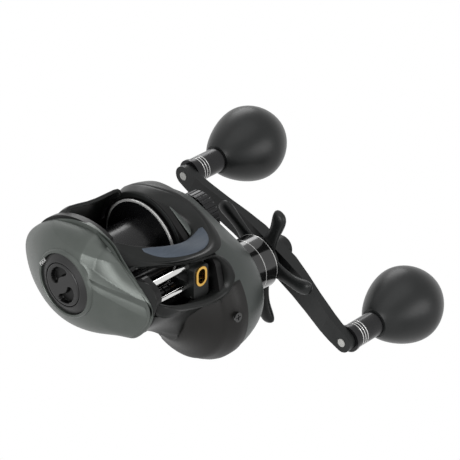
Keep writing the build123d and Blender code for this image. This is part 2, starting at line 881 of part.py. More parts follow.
def make_hood():
    """Band over the crank side of the spool, front bar and the lip round the line guide's mouth."""
    with BuildPart() as hood:
        add(hood_band())
        add(mouth_lip())
        add(hood_bar())
        with BuildSketch(cross_plane(-inner_x + fit_gap)):
            with Locations((guide_rod_y + 0.5, (carriage_bottom + carriage_lug_top) / 2)):
                Rectangle(5.8, carriage_lug_top - carriage_bottom + 2 * fit_gap)
            with Locations((carriage_front_y + 1.4, (carriage_bottom + carriage_top) / 2)):
                Rectangle(5.4, carriage_top - carriage_bottom + 2 * fit_gap)
        extrude(amount=2 * (inner_x - fit_gap), mode=Mode.SUBTRACT)
        with BuildSketch(cross_plane(hood_start_x - 1)):
            add(crank_wall_outline(fit_gap))
        extrude(amount=outer_x + fit_gap - hood_start_x + 1, mode=Mode.SUBTRACT)
        with BuildSketch(cross_plane(outer_x)):
            add(two_drum_outline(drum_r + fit_gap, crown_r + fit_gap))
        extrude(amount=20.0, mode=Mode.SUBTRACT)
    save(hood.part, "hood")


def bar_face(x, share):
    """Point on the bar's broad face at an X, a share of the way from its back edge to its crest."""
    for (x0, edge0, crest0, _), (x1, edge1, crest1, _) in zip(bar_stations, bar_stations[1:]):
        if x0 <= x <= x1:
            t = (x - x0) / (x1 - x0)
            edge = [a + (b - a) * t for a, b in zip(edge0, edge1)]
            crest = [a + (b - a) * t for a, b in zip(crest0, crest1)]
            return tuple(a + (b - a) * share for a, b in zip(edge, crest))


def make_hood_insert():
    """Strip let onto the broad face of the bar, wide at the crank side and running out to a tip."""
    sections = []
    for x, back, front in insert_stations:
        low = [bar_face(x, back), bar_face(x, front)]
        base = [(y, z + insert_lift) for y, z in low]
        sections.append((x, base + [(y - 0.1, z + insert_t) for y, z in base[::-1]]))
    save(bar_part(sections), "hood_insert")


insert_lift = 0.08
insert_t = 0.6
insert_stations = [(-7.0, 0.30, 0.46), (-2.0, 0.14, 0.72), (4.0, 0.08, 0.86), (10.0, 0.08, 0.86), (16.0, 0.12, 0.80)]


def make_lower_front_cover():
    """Black panel under the mouth: the front of the drum and the chin that reaches across to the palm side."""
    web_t = 1.5
    wall = shell_t - 0.1
    rim = [
        (chin_end_x, front_end_r - wall),
        (front_bend_x, front_bend_r - wall),
        (front_seam_x - 0.2, drum_r - wall),
        (front_seam_x - 0.2, drum_r),
        (front_bend_x, front_bend_r),
        (chin_end_x, front_end_r),
    ]
    web = [
        (chin_end_x, 12.0),
        (chin_end_x + web_t, 12.0),
        (chin_end_x + web_t, front_end_r - 0.4),
        (chin_end_x, front_end_r - 0.6),
    ]
    start, sweep = front_cover_arc
    with BuildPart() as lower_front_cover:
        add(arched(drive_axis, rim, start, sweep))
        add(arched(drive_axis, web, start - 10, sweep + 6))
        with BuildSketch(cross_plane(-inner_x + fit_gap + 2)):
            with BuildLine():
                Polyline(*chin, close=True)
            make_face()
        extrude(amount=inner_x - fit_gap + chin_end_x + web_t - 2)
        with BuildSketch(front_screw_plane()):
            Circle(screw_r + seat_gap)
        extrude(amount=-4.0, mode=Mode.SUBTRACT)
    save(lower_front_cover.part, "lower_front_cover")


def front_screw_plane(depth=0.0):
    """Plane square to the drum's surface where the front cover is screwed down."""
    y, z = polar(drive_axis, drum_r - depth, front_screw_angle)
    turn = radians(front_screw_angle)
    return Plane(origin=(front_screw_x, y, z), x_dir=(1, 0, 0), z_dir=(0, cos(turn), sin(turn)))


def make_front_cover_screw():
    with BuildPart() as front_cover_screw:
        with BuildSketch(front_screw_plane(-seat_gap)):
            Circle(2.1)
            Rectangle(2.6, 0.6, mode=Mode.SUBTRACT)
            Rectangle(0.6, 2.6, mode=Mode.SUBTRACT)
        extrude(amount=0.7)
        with BuildSketch(front_screw_plane(-seat_gap)):
            Circle(2.1)
        extrude(amount=0.3)
        with BuildSketch(front_screw_plane(-seat_gap)):
            Circle(screw_r)
        extrude(amount=-1.3)
    save(front_cover_screw.part, "front_cover_screw")


# ---------------------------------------------------------------- crank side casing
cover_boss_r = 8.4
cover_boss_end_x = 49.5
pinion_bearing_t = 3.0
pinion_bearing_r = 5.0
pinion_tube_r = 3.2


def cover_block(wall):
    rim = cover_rim_x - (0.01 if wall else 0.0)
    with BuildPart() as block:
        loft(
            sections=[
                two_drum_face(rim, drum_rim_r - wall, crown_r - wall),
                two_drum_face(cover_wide_x, drum_r - wall, crown_r - wall),
                two_drum_face(cover_mid_x, drum_mid_r - wall, crown_mid_r - wall),
                two_drum_face(cover_end_x - wall, drum_end_r - wall * 0.8, crown_end_r - wall * 0.8),
            ]
        )
    return block.part


def make_gear_cover():
    """Crowned shell over the gears, with bosses for the pinion bearing, the tension cap and the drag collar."""
    start, sweep = front_cover_arc
    notch = [
        (cover_rim_x - 1, drum_rim_r - shell_t - 1.6),
        (front_seam_x, drum_r - shell_t - 0.9),
        (front_seam_x, drum_r + 2),
        (cover_rim_x - 1, drum_r + 2),
    ]
    tongue_relief = [
        (cover_rim_x - 1, tongue_r),
        (cover_rim_x + 1.6, tongue_r),
        (cover_rim_x + 1.6, crown_r - 0.7),
        (cover_rim_x - 1, crown_r - 0.7),
    ]
    with BuildPart() as gear_cover:
        add(cover_block(0.0))
        add(cover_block(shell_t), mode=Mode.SUBTRACT)
        add(arched(drive_axis, notch, start - 1, sweep + 2), mode=Mode.SUBTRACT)
        add(tube(spool_axis, pinion_bearing_x - 0.6, cover_end_x, pinion_bearing_r + 1.8))
        add(tube(spool_axis, cover_end_x - shell_t, cover_boss_end_x, cover_boss_r))
        add(tube(drive_axis, cover_end_x - shell_t, collar_start_x - seat_gap, collar_r - 0.3))
        add(tube(spool_axis, pinion_bearing_x - 1, pinion_bearing_x + pinion_bearing_t, pinion_bearing_r + seat_gap),
            mode=Mode.SUBTRACT)
        add(tube(spool_axis, pinion_bearing_x, cover_boss_end_x + 1, pinion_tube_r + 0.6), mode=Mode.SUBTRACT)
        add(tube(drive_axis, cover_end_x - 4, collar_start_x + 1, one_way_inner_r + 1.0), mode=Mode.SUBTRACT)
        add(arched(spool_axis, tongue_relief, thumb_angle - 20, 32.0), mode=Mode.SUBTRACT)
    save(gear_cover.part, "gear_cover")


def make_pinion_bearing():
    part = tube(
        spool_axis, pinion_bearing_x, pinion_bearing_x + pinion_bearing_t, pinion_bearing_r, pinion_tube_r + run_gap
    )
    save(part, "pinion_bearing")


def make_drag_collar():
    """Sleeve on the crank side that houses the one-way bearing and the drag springs."""
    part = turned(
        drive_axis,
        [
            (collar_start_x, one_way_r + seat_gap),
            (collar_start_x, collar_r - 0.4),
            (collar_start_x + 0.4, collar_r),
            (collar_end_x - 0.4, collar_r),
            (collar_end_x, collar_r - 0.4),
            (collar_end_x, collar_r - 1.8),
            (one_way_end_x, collar_r - 1.8),
            (one_way_end_x, one_way_r + seat_gap),
        ],
    )
    save(part, "drag_collar")


# ---------------------------------------------------------------- spool tension
cap_r = 10.8
cap_start_x = 45.0
cap_end_x = 52.4
cap_top_t = 1.6
cap_flutes = 28


def make_tension_cap():
    """Fluted cap screwed on the cover's boss."""
    with BuildPart() as tension_cap:
        add(
            turned(
                spool_axis,
                [
                    (cap_start_x, cover_boss_r + run_gap),
                    (cap_start_x, cap_r),
                    (cap_end_x - 1.4, cap_r),
                    (cap_end_x, cap_r - 1.8),
                    (cap_end_x, 0),
                    (cap_end_x - cap_top_t, 0),
                    (cap_end_x - cap_top_t, cover_boss_r + run_gap),
                ],
            )
        )
        with BuildSketch(cross_plane(cap_start_x, spool_axis)):
            with PolarLocations(cap_r + 0.25, cap_flutes):
                Circle(0.6)
        extrude(amount=cap_end_x - cap_start_x, mode=Mode.SUBTRACT)
    save(tension_cap.part, "tension_cap")


def make_tension_spacer():
    save(
        tube(spool_axis, cover_end_x + 1.3 + 0.6 + 0.1, cap_end_x - cap_top_t - seat_gap, pinion_tube_r),
        "tension_spacer",
    )


# ---------------------------------------------------------------- clutch
def make_pinion_gear():
    """Pinion with its slotted driving cup, teeth and the groove for the yoke."""
    pitch_r = drive_module * pinion_teeth / 2
    collar = pitch_r - 0.2
    cup_end = main_gear_x - yoke_travel - 0.6
    teeth_end = groove_x - 0.8
    bore = shaft_r + run_gap
    with BuildPart() as pinion_gear:
        add(
            turned(
                spool_axis,
                [
                    (pinion_x, bore),
                    (pinion_x, 4.3),
                    (cup_end, 4.3),
                    (cup_end, pinion_tube_r),
                    (teeth_end, pinion_tube_r),
                    (teeth_end, collar),
                    (groove_x, collar),
                    (groove_x, pinion_tube_r - 0.2),
                    (groove_x + groove_width, pinion_tube_r - 0.2),
                    (groove_x + groove_width, collar),
                    (groove_x + groove_width + pinion_collar_t, collar),
                    (groove_x + groove_width + pinion_collar_t, pinion_tube_r),
                    (pinion_bearing_x + pinion_bearing_t + 0.6, pinion_tube_r),
                    (pinion_bearing_x + pinion_bearing_t + 0.6, bore),
                ],
            )
        )
        add(gear(spool_axis, cup_end + 0.4, teeth_end, pinion_teeth, drive_module, pinion_phase, bore))
        with BuildSketch(cross_plane(pinion_x - 0.5, spool_axis)):
            Rectangle(2 * (pin_r + 0.1), 12)
        extrude(amount=pin_x + pin_r + 0.15 - pinion_x + 0.5, mode=Mode.SUBTRACT)
    save(pinion_gear.part, "pinion_gear")


def make_clutch_yoke():
    plate_x = groove_x + fit_gap
    plate_t = groove_width - 2 * fit_gap
    posts = [polar(spool_axis, post_orbit, a) for a in post_angles]
    with BuildPart() as clutch_yoke:
        with BuildSketch(cross_plane(plate_x)):
            with Locations(*posts):
                Circle(3.0)
            with Locations(spool_axis):
                Circle(6.0)
            make_hull()
            with Locations(*posts):
                Circle(post_r + run_gap, mode=Mode.SUBTRACT)
            with Locations(spool_axis):
                Circle(pinion_tube_r, mode=Mode.SUBTRACT)
            with Locations(polar(spool_axis, 5.0, 240)):
                Rectangle(10.0, 2 * pinion_tube_r, rotation=60, mode=Mode.SUBTRACT)
        extrude(amount=plate_t)
    save(clutch_yoke.part, "clutch_yoke")


post_end_x = 38.8


def make_yoke_posts():
    with BuildPart() as yoke_posts:
        with BuildSketch(cross_plane(outer_x - 2.0)):
            with Locations(*[polar(spool_axis, post_orbit, a) for a in post_angles]):
                Circle(post_r)
        extrude(amount=post_end_x - outer_x + 2.0)
        with BuildSketch(cross_plane(post_end_x - 0.6)):
            with Locations(*[polar(spool_axis, post_orbit, a) for a in post_angles]):
                Circle(post_r + 0.7)
        extrude(amount=0.6)
    save(yoke_posts.part, "yoke_posts")


def make_yoke_springs():
    """Two coil springs that push the yoke home, each drawn as the sleeve that it fills."""
    start_x = groove_x + groove_width - fit_gap + seat_gap
    with BuildPart() as yoke_springs:
        with BuildSketch(cross_plane(start_x)):
            with Locations(*[polar(spool_axis, post_orbit, a) for a in post_angles]):
                Circle(post_r + 0.7)
                Circle(post_r + 0.2, mode=Mode.SUBTRACT)
        extrude(amount=post_end_x - 0.6 - seat_gap - start_x)
    save(yoke_springs.part, "yoke_springs")


def make_clutch_cam():
    """Slide behind the frame wall: tongue through the wall, plate and the arm that lifts the yoke."""
    plate_x = outer_x + 0.4
    plate_inner_r = 13.0
    arm_r = 14.4
    arm_width = 2.2
    with BuildPart() as clutch_cam:
        with BuildSketch(cross_plane(thumb_right_x + seat_gap)):
            with Locations(polar(spool_axis, tongue_r, thumb_angle)):
                Rectangle(tongue_width, tongue_length, rotation=thumb_angle)
        extrude(amount=plate_x + 0.6 - thumb_right_x - seat_gap)
        with BuildSketch(cross_plane(plate_x)):
            with Locations(polar(spool_axis, (tongue_r + plate_inner_r) / 2, thumb_angle)):
                Rectangle(tongue_r - plate_inner_r, tongue_length, rotation=thumb_angle)
        extrude(amount=1.2)
        with BuildSketch(cross_plane(plate_x)):
            with Locations(polar(spool_axis, arm_r, thumb_angle)):
                Rectangle(arm_width, arm_width, rotation=thumb_angle)
        extrude(amount=groove_x - plate_x)
    save(clutch_cam.part, "clutch_cam")


def make_thumb_bar():
    """Curved bar across the rear of the spool; it slides down to free the spool."""
    left_x = -inner_x + 0.3
    bar = [
        (left_x, thumb_inner_r),
        (thumb_right_x, thumb_inner_r),
        (thumb_right_x, thumb_outer_r - 0.8),
        (thumb_right_x - 1.2, thumb_outer_r),
        (left_x + 1.2, thumb_outer_r),
        (left_x, thumb_outer_r - 0.8),
    ]
    save(arched(spool_axis, bar, thumb_angle + thumb_start, thumb_sweep), "thumb_bar")


# ---------------------------------------------------------------- drive
ratchet_x = 22.3
level_gear_x = 19.4
level_gear_t = 2.0
drag_cavity_r = 15.0
washer_t = 0.6
washer_pairs = 3
one_way_r = 9.0
one_way_inner_r = 4.6
one_way_start_x = 47.0
one_way_end_x = 55.6
main_web_t = 1.2
star_hub_x = 63.8


def make_drive_shaft():
    shaft_end = nut_x + nut_t
    part = turned(
        drive_axis,
        [
            (inner_x - 0.4, 0),
            (inner_x - 0.4, drive_shaft_r),
            (ratchet_x - 0.8, drive_shaft_r),
            (ratchet_x - 0.8, drive_shaft_r + 1.4),
            (ratchet_x, drive_shaft_r + 1.4),
            (ratchet_x, drive_shaft_r),
            (shaft_end, drive_shaft_r),
            (shaft_end, 0),
        ],
    )
    save(part, "drive_shaft")


def make_drive_shaft_bearing():
    save(
        tube(drive_axis, inner_x + 0.2, outer_x - 0.1, bearing_r, drive_shaft_r + run_gap),
        "drive_shaft_bearing",
    )


def make_level_wind_drive_gear():
    save(
        gear(
            drive_axis,
            level_gear_x,
            level_gear_x + level_gear_t,
            level_drive_teeth,
            level_module,
            level_drive_phase,
            drive_shaft_r + seat_gap,
        ),
        "level_wind_drive_gear",
    )


def make_idler_gear():
    save(
        gear(
            idler_axis,
            level_gear_x,
            level_gear_x + level_gear_t,
            idler_teeth,
            level_module,
            idler_phase,
            idler_stub_r + run_gap,
        ),
        "idler_gear",
    )


def make_worm_gear():
    save(
        gear(
            worm_axis,
            level_gear_x,
            level_gear_x + level_gear_t,
            worm_teeth,
            level_module,
            worm_gear_phase,
            worm_r + seat_gap,
        ),
        "worm_gear",
    )


def make_ratchet_wheel():
    count = 12
    tooth = 360 / count
    with BuildPart() as ratchet_wheel:
        with BuildSketch(cross_plane(ratchet_x + seat_gap, drive_axis)):
            with BuildLine():
                points = []
                for i in range(count):
                    points.append(polar((0, 0), 12.6, i * tooth))
                    points.append(polar((0, 0), 10.6, i * tooth + 4))
                Polyline(*points, close=True)
            make_face()
            Circle(drive_shaft_r + seat_gap, mode=Mode.SUBTRACT)
        extrude(amount=main_gear_x - ratchet_x - 2 * seat_gap - 0.4)
    save(ratchet_wheel.part, "ratchet_wheel")


def make_main_gear():
    with BuildPart() as main_gear:
        add(
            gear(
                drive_axis,
                main_gear_x,
                main_gear_x + main_gear_t,
                main_teeth,
                drive_module,
                main_phase,
                drive_shaft_r + run_gap,
            )
        )
        add(
            tube(drive_axis, main_gear_x + main_web_t, main_gear_x + main_gear_t + 1, drag_cavity_r),
            mode=Mode.SUBTRACT,
        )
    save(main_gear.part, "main_gear")


def washer_x(index):
    return main_gear_x + main_web_t + seat_gap + index * (washer_t + seat_gap)


def make_drag_washers():
    """Fibre and steel washers laid in turn in the main gear's cavity."""
    with BuildPart() as fibre_drag_washers:
        for i in range(washer_pairs):
            x = washer_x(2 * i)
            add(tube(drive_axis, x, x + washer_t, drag_cavity_r - 0.3, drive_shaft_r + 1.2))
    save(fibre_drag_washers.part, "fibre_drag_washers")
    with BuildPart() as steel_drag_washers:
        for i in range(washer_pairs):
            x = washer_x(2 * i + 1)
            add(tube(drive_axis, x, x + washer_t, drag_cavity_r - 0.5, drive_shaft_r + seat_gap))
    save(steel_drag_washers.part, "steel_drag_washers")


def make_one_way_bearing():
    save(
        tube(drive_axis, one_way_start_x, one_way_end_x - seat_gap, one_way_r, one_way_inner_r + run_gap),
        "one_way_bearing",
    )


def make_one_way_sleeve():
    """Inner sleeve of the one-way bearing; it presses on the drag stack."""
    press_x = washer_x(2 * washer_pairs)
    part = turned(
        drive_axis,
        [
            (press_x, drive_shaft_r + seat_gap),
            (press_x, 8.0),
            (press_x + 1.2, 8.0),
            (press_x + 1.2, one_way_inner_r),
            (one_way_end_x + 1.0, one_way_inner_r),
            (one_way_end_x + 1.0, drive_shaft_r + seat_gap),
        ],
    )
    save(part, "one_way_sleeve")


def make_drag_springs():
    """Two dished spring washers, back to back."""
    x = one_way_end_x + 1.0 + seat_gap
    inner = drive_shaft_r + 0.1
    outer = 8.0
    t = 0.7
    dish = 0.8
    with BuildPart() as drag_springs:
        add(turned(drive_axis, [(x, inner), (x + dish, outer), (x + dish + t, outer), (x + t, inner)]))
        x2 = x + 2 * (dish + t) + seat_gap
        add(turned(drive_axis, [(x2, inner), (x2 - dish, outer), (x2 - dish - t, outer), (x2 - t, inner)]))
    save(drag_springs.part, "drag_springs")


# ---------------------------------------------------------------- star drag and handle
star_t = 3.4
star_pad_r = 2.9
star_pad_t = 4.8
star_arm_x = 62.6
star_bore = 0.05
nut_x = 76.2
nut_t = 3.6
nut_r = 5.3
arm_end_r = 4.6
arm_hub_r = 6.6


def make_star_drag():
    springs_end = one_way_end_x + 1.0 + 2 * (0.8 + 0.7) + 3 * seat_gap
    with BuildPart() as star_drag:
        add(tube(drive_axis, springs_end + 0.05, star_hub_x, 5.6, drive_shaft_r + star_bore))
        add(tube(drive_axis, star_hub_x, star_hub_x + star_t, 10.0, drive_shaft_r + star_bore))
        for i in range(star_arms):
            angle = star_phase + i * 360 / star_arms
            with BuildSketch(cross_plane(star_hub_x)):
                with Locations(polar(drive_axis, 8.0, angle)):
                    Circle(2.6)
                with Locations(polar(drive_axis, star_r - star_pad_r, angle)):
                    Circle(star_pad_r - 0.7)
                make_hull()
            extrude(amount=star_t - 0.4)
            with BuildSketch(cross_plane(star_arm_x)):
                with Locations(polar(drive_axis, star_r - star_pad_r - 3.0, angle)):
                    Circle(star_pad_r - 0.5)
                with Locations(polar(drive_axis, star_r - star_pad_r, angle)):
                    Circle(star_pad_r)
                make_hull()
            extrude(amount=star_pad_t)
        add(tube(drive_axis, star_hub_x - 1, star_hub_x + star_t + 1, drive_shaft_r + star_bore), mode=Mode.SUBTRACT)
    save(star_drag.part, "star_drag")


def make_handle_spacer():
    save(
        tube(
            drive_axis,
            star_hub_x + star_t + 0.1,
            arm_hub_x - seat_gap,
            4.8,
            drive_shaft_r + seat_gap,
        ),
        "handle_spacer",
    )


def knob_axis(side):
    """Axis of a knob: side +1 is the upper one at rest, -1 the lower one."""
    return polar(drive_axis, side * handle_span / 2, handle_angle)


def make_handle_arm():
    """Double arm, swept back from the hub to the knobs."""
    half = handle_span / 2
    inner = [(9.0, arm_hub_x), (20.0, arm_hub_x - 0.4), (30.0, arm_hub_x - 1.8), (41.0, arm_end_x + 0.5)]
    outer = [(10.0, nut_x), (20.0, nut_x - 1.9), (30.0, nut_x - 3.9), (41.0, arm_end_x + arm_t + 0.6)]
    tip = half + 6.0
    side = inner + [(46.5, arm_end_x), (tip, arm_end_x), (tip, arm_end_x + arm_t), (46.5, arm_end_x + arm_t)]
    side = side + outer[::-1]
    profile = side + [(-s, x) for s, x in side[::-1]]
    turn = radians(handle_angle)
    flat = Plane(
        origin=(0, drive_axis[0], drive_axis[1]),
        x_dir=(0, cos(turn), sin(turn)),
        z_dir=(0, sin(turn), -cos(turn)),
    )
    with BuildPart() as handle_arm:
        with BuildSketch(flat):
            with BuildLine():
                Polyline(*profile, close=True)
            make_face()
        extrude(amount=2 * arm_hub_r, both=True)
        with BuildSketch(cross_plane(arm_end_x - 1)):
            with Locations(knob_axis(1), knob_axis(-1)):
                Circle(arm_end_r)
            with Locations(polar(drive_axis, 20, handle_angle), polar(drive_axis, -20, handle_angle)):
                Circle(arm_hub_r - 0.4)
            make_hull()
        extrude(amount=nut_x - arm_end_x + 3, mode=Mode.INTERSECT)
        with BuildSketch(cross_plane(arm_end_x - 1)):
            with Locations(knob_axis(1), knob_axis(-1)):
                Circle(spindle_r + seat_gap)
            with Locations(drive_axis):
                Circle(drive_shaft_r + seat_gap)
        extrude(amount=nut_x - arm_end_x + 3, mode=Mode.SUBTRACT)
    save(handle_arm.part, "handle_arm")


def make_handle_nut():
    with BuildPart() as handle_nut:
        add(
            turned(
                drive_axis,
                [
                    (nut_x + seat_gap, drive_shaft_r + seat_gap),
                    (nut_x + seat_gap, nut_r),
                    (nut_x + nut_t + 1.0, nut_r),
                    (nut_x + nut_t + 1.8, nut_r - 0.8),
                    (nut_x + nut_t + 1.8, 1.3),
                    (nut_x + nut_t + seat_gap, 1.3),
                    (nut_x + nut_t + seat_gap, drive_shaft_r + seat_gap),
                ],
            )
        )
    save(handle_nut.part, "handle_nut")


spindle_end_x = 112.0
sleeve_start_x = arm_end_x + arm_t + 0.3
sleeve_bore = 3.0
knob_bearing_x = (73.0, 100.0)
knob_bearing_t = 2.5


def make_knob_spindles():
    with BuildPart() as knob_spindles:
        with BuildSketch(cross_plane(arm_end_x - 0.2)):
            with Locations(knob_axis(1), knob_axis(-1)):
                Circle(spindle_r)
        extrude(amount=spindle_end_x - arm_end_x + 0.2)
    save(knob_spindles.part, "knob_spindles")


def make_knob_bearings():
    with BuildPart() as knob_bearings:
        for side in (1, -1):
            for x in knob_bearing_x:
                add(tube(knob_axis(side), x, x + knob_bearing_t, sleeve_bore - run_gap, spindle_r + seat_gap))
    save(knob_bearings.part, "knob_bearings")


def make_knob(side, name):
    """One knob: the grooved sleeve next to the arm and the egg-shaped ball that is pressed on it."""
    axis = knob_axis(side)
    groove = 0.35
    outline = [
        (sleeve_start_x, sleeve_bore),
        (sleeve_start_x, sleeve_r + 0.5),
        (sleeve_start_x + 1.3, sleeve_r + 0.5),
        (sleeve_start_x + 1.3, sleeve_r),
    ]
    for i in range(3):
        x = sleeve_start_x + 4.0 + 1.5 * i
        outline += [(x, sleeve_r), (x, sleeve_r - groove), (x + 0.7, sleeve_r - groove), (x + 0.7, sleeve_r)]
    outline += [(knob_neck_x - seat_gap, sleeve_r), (knob_neck_x - seat_gap, sleeve_bore)]
    save(turned(axis, outline), f"knob_sleeve_{name}")
    with BuildPart() as ball:
        with BuildSketch(axle_plane(axis)):
            with BuildLine():
                Line((knob_neck_x, sleeve_bore), (knob_neck_x, knob_neck_r))
                Spline(
                    (knob_neck_x, knob_neck_r),
                    (knob_centre_x, knob_r),
                    (knob_end_x, 0),
                    tangents=[(0.8, 1.0), (1, 0), (0, -1)],
                    tangent_scalars=[0.6, 1.0, 1.0],
                )
                Line((knob_end_x, 0), (spindle_end_x + 1.0, 0))
                Line((spindle_end_x + 1.0, 0), (spindle_end_x + 1.0, sleeve_bore))
                Line((spindle_end_x + 1.0, sleeve_bore), (knob_neck_x, sleeve_bore))
            make_face()
        revolve(axis=axle(axis))
    save(ball.part, f"knob_ball_{name}")


# ---------------------------------------------------------------- level wind
rod_end_x = outer_x - 0.2


def make_guide_rod(z, name):
    save(tube((guide_rod_y, z), -rod_end_x, rod_end_x, guide_rod_r), name)


def make_worm_shaft():
    """Shaft with the crossed groove, drawn as two narrow ring grooves at each turn."""
    left = -outer_x + 0.2
    right = level_gear_x + level_gear_t
    turns = 8
    pitch = 2 * (inner_x - 1.5) / turns
    outline = [(left, 0), (left, worm_r)]
    for i in range(turns):
        x = -inner_x + 1.5 + pitch * (i + 0.5)
        outline += [(x - 0.5, worm_r), (x - 0.5, worm_r - 0.5), (x + 0.5, worm_r - 0.5), (x + 0.5, worm_r)]
    outline += [(right, worm_r), (right, 0)]
    save(turned(worm_axis, outline), "worm_shaft")


carriage_bottom = 19.2
carriage_top = 34.0
carriage_lug_top = 35.3
ring_z = 29.3
ring_half_width = 3.1
ring_half_height = 4.5
ring_wall = 1.1
carriage_front_y = -41.0
carriage_plate_t = 3.0
pawl_r = 1.5


def carriage_plane(y):
    """Plane square to the line's way out: local x is +X, local y is +Z, extrusion runs backwards."""
    return Plane(origin=(carriage_x, y, 0), x_dir=(1, 0, 0), z_dir=(0, -1, 0))


def make_line_guide():
    """Carriage: front plate for the ring, upper lug on its rod, lower lug on its rod and the worm shaft."""
    half = carriage_width / 2
    back_y = carriage_front_y + carriage_plate_t
    upper_back_y = guide_rod_y + guide_rod_r + 1.0
    lower_back_y = worm_y + worm_r + 1.2
    with BuildPart() as line_guide:
        with BuildSketch(carriage_plane(carriage_front_y)):
            with Locations((0, (carriage_bottom + carriage_top) / 2)):
                RectangleRounded(carriage_width, carriage_top - carriage_bottom, 1.6)
        extrude(amount=-carriage_plate_t)
        with BuildSketch(cross_plane(carriage_x - half)):
            with Locations(((back_y - 0.4 + upper_back_y) / 2, (carriage_lug_top + 31.2) / 2)):
                Rectangle(upper_back_y - back_y + 0.4, carriage_lug_top - 31.2)
            with Locations(((back_y - 0.4 + lower_back_y) / 2, (carriage_bottom + 26.4) / 2)):
                Rectangle(lower_back_y - back_y + 0.4, 26.4 - carriage_bottom)
        extrude(amount=carriage_width)
        with BuildSketch(cross_plane(carriage_x - half - 1)):
            with Locations(*rod_places()):
                Circle(guide_rod_r + run_gap)
            with Locations(worm_axis):
                Circle(worm_r + run_gap)
        extrude(amount=carriage_width + 2, mode=Mode.SUBTRACT)
        with BuildSketch(carriage_plane(carriage_front_y - 1)):
            with Locations((0, ring_z)):
                SlotOverall(2 * (ring_half_height + seat_gap), 2 * (ring_half_width + seat_gap), rotation=90)
        extrude(amount=-carriage_plate_t - 2, mode=Mode.SUBTRACT)
        with BuildSketch(Plane.XY.offset(carriage_bottom - 1)):
            with Locations((carriage_x, worm_y)):
                Circle(pawl_r + seat_gap)
        extrude(amount=worm_z - worm_r - carriage_bottom + 1.5, mode=Mode.SUBTRACT)
    save(line_guide.part, "line_guide")


def make_line_guide_ring():
    with BuildPart() as line_guide_ring:
        with BuildSketch(carriage_plane(carriage_front_y - 0.5)):
            with Locations((0, ring_z)):
                SlotOverall(2 * ring_half_height, 2 * ring_half_width, rotation=90)
                SlotOverall(
                    2 * (ring_half_height - ring_wall),
                    2 * (ring_half_width - ring_wall),
                    rotation=90,
                    mode=Mode.SUBTRACT,
                )
        extrude(amount=-carriage_plate_t - 0.5)
    save(line_guide_ring.part, "line_guide_ring")


def make_line_guide_pawl():
    """Round pawl under the worm shaft, held in the carriage."""
    top = worm_z - worm_r - 0.05
    with BuildPart() as line_guide_pawl:
        with BuildSketch(Plane.XY.offset(carriage_bottom)):
            with Locations((carriage_x, worm_y)):
                Circle(pawl_r)
        extrude(amount=top - carriage_bottom)
    save(line_guide_pawl.part, "line_guide_pawl")


# ---------------------------------------------------------------- build everything
def main():
    make_spool()
    make_spool_shaft()
    make_cross_pin()
    make_spool_bearings()
    make_brake_rotor()
    make_brake_housing()
    make_magnet_holder()
    make_brake_magnets()
    make_brake_dial()
    make_brake_scale_ring()
    make_palm_cover()
    make_palm_cover_screws()
    make_frame()
    make_reel_foot()
    make_foot_screws()
    make_hood()
    make_hood_insert()
    make_lower_front_cover()
    make_front_cover_screw()
    make_gear_cover()
    make_pinion_bearing()
    make_drag_collar()
    make_tension_cap()
    make_tension_spacer()
    make_pinion_gear()
    make_clutch_yoke()
    make_yoke_posts()
    make_yoke_springs()
    make_clutch_cam()
    make_thumb_bar()
    make_drive_shaft()
    make_drive_shaft_bearing()
    make_level_wind_drive_gear()
    make_idler_gear()
    make_worm_gear()
    make_ratchet_wheel()
    make_main_gear()
    make_drag_washers()
    make_one_way_bearing()
    make_one_way_sleeve()
    make_drag_springs()
    make_star_drag()
    make_handle_spacer()
    make_handle_arm()
    make_handle_nut()
    make_knob_spindles()
    make_knob_bearings()
    make_knob(1, "upper")
    make_knob(-1, "lower")
    make_guide_rod(upper_rod_z, "guide_rod_upper")
    make_guide_rod(lower_rod_z, "guide_rod_lower")
    make_worm_shaft()
    make_line_guide()
    make_line_guide_ring()
    make_line_guide_pawl()


main()
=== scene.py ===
"""Dressed model of a low-profile baitcasting reel, built round its packed assembly of solids.

Frame: +X towards the crank, -Y the way the line leaves, +Z up. Lengths here are millimetres, turned to metres
where a mesh is made.
"""
from math import cos, hypot, pi, radians, sin

import bmesh
import bpy
from mathutils import Matrix, Vector


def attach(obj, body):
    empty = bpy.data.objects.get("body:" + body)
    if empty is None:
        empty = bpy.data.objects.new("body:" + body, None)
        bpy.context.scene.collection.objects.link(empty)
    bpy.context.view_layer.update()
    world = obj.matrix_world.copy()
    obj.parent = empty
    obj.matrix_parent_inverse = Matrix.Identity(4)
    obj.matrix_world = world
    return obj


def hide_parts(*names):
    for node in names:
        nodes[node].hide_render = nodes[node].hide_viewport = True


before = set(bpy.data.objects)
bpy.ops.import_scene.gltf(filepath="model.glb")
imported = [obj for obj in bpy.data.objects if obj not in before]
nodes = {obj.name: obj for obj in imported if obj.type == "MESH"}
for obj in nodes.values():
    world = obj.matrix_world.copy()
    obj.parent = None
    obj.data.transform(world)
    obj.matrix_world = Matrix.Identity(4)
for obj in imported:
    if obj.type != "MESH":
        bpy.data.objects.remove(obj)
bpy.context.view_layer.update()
MM = 0.001

SPOOL = (0.0, 25.5)            # spool axis, as Y and Z
DRIVE = (-21.0, 4.7)           # crank axis
UPPER_KNOB = (25.94, 28.21)    # knob axes with the crank at rest
LOWER_KNOB = (-67.94, -18.81)


# ---------------------------------------------------------------- finishes
def noise(tree, place, scale, detail=2.0):
    """Soft noise from 0 to 1."""
    node = tree.nodes.new("ShaderNodeTexNoise")
    node.inputs["Scale"].default_value = scale
    node.inputs["Detail"].default_value = detail
    tree.links.new(place, node.inputs["Vector"])
    return node.outputs["Fac"]


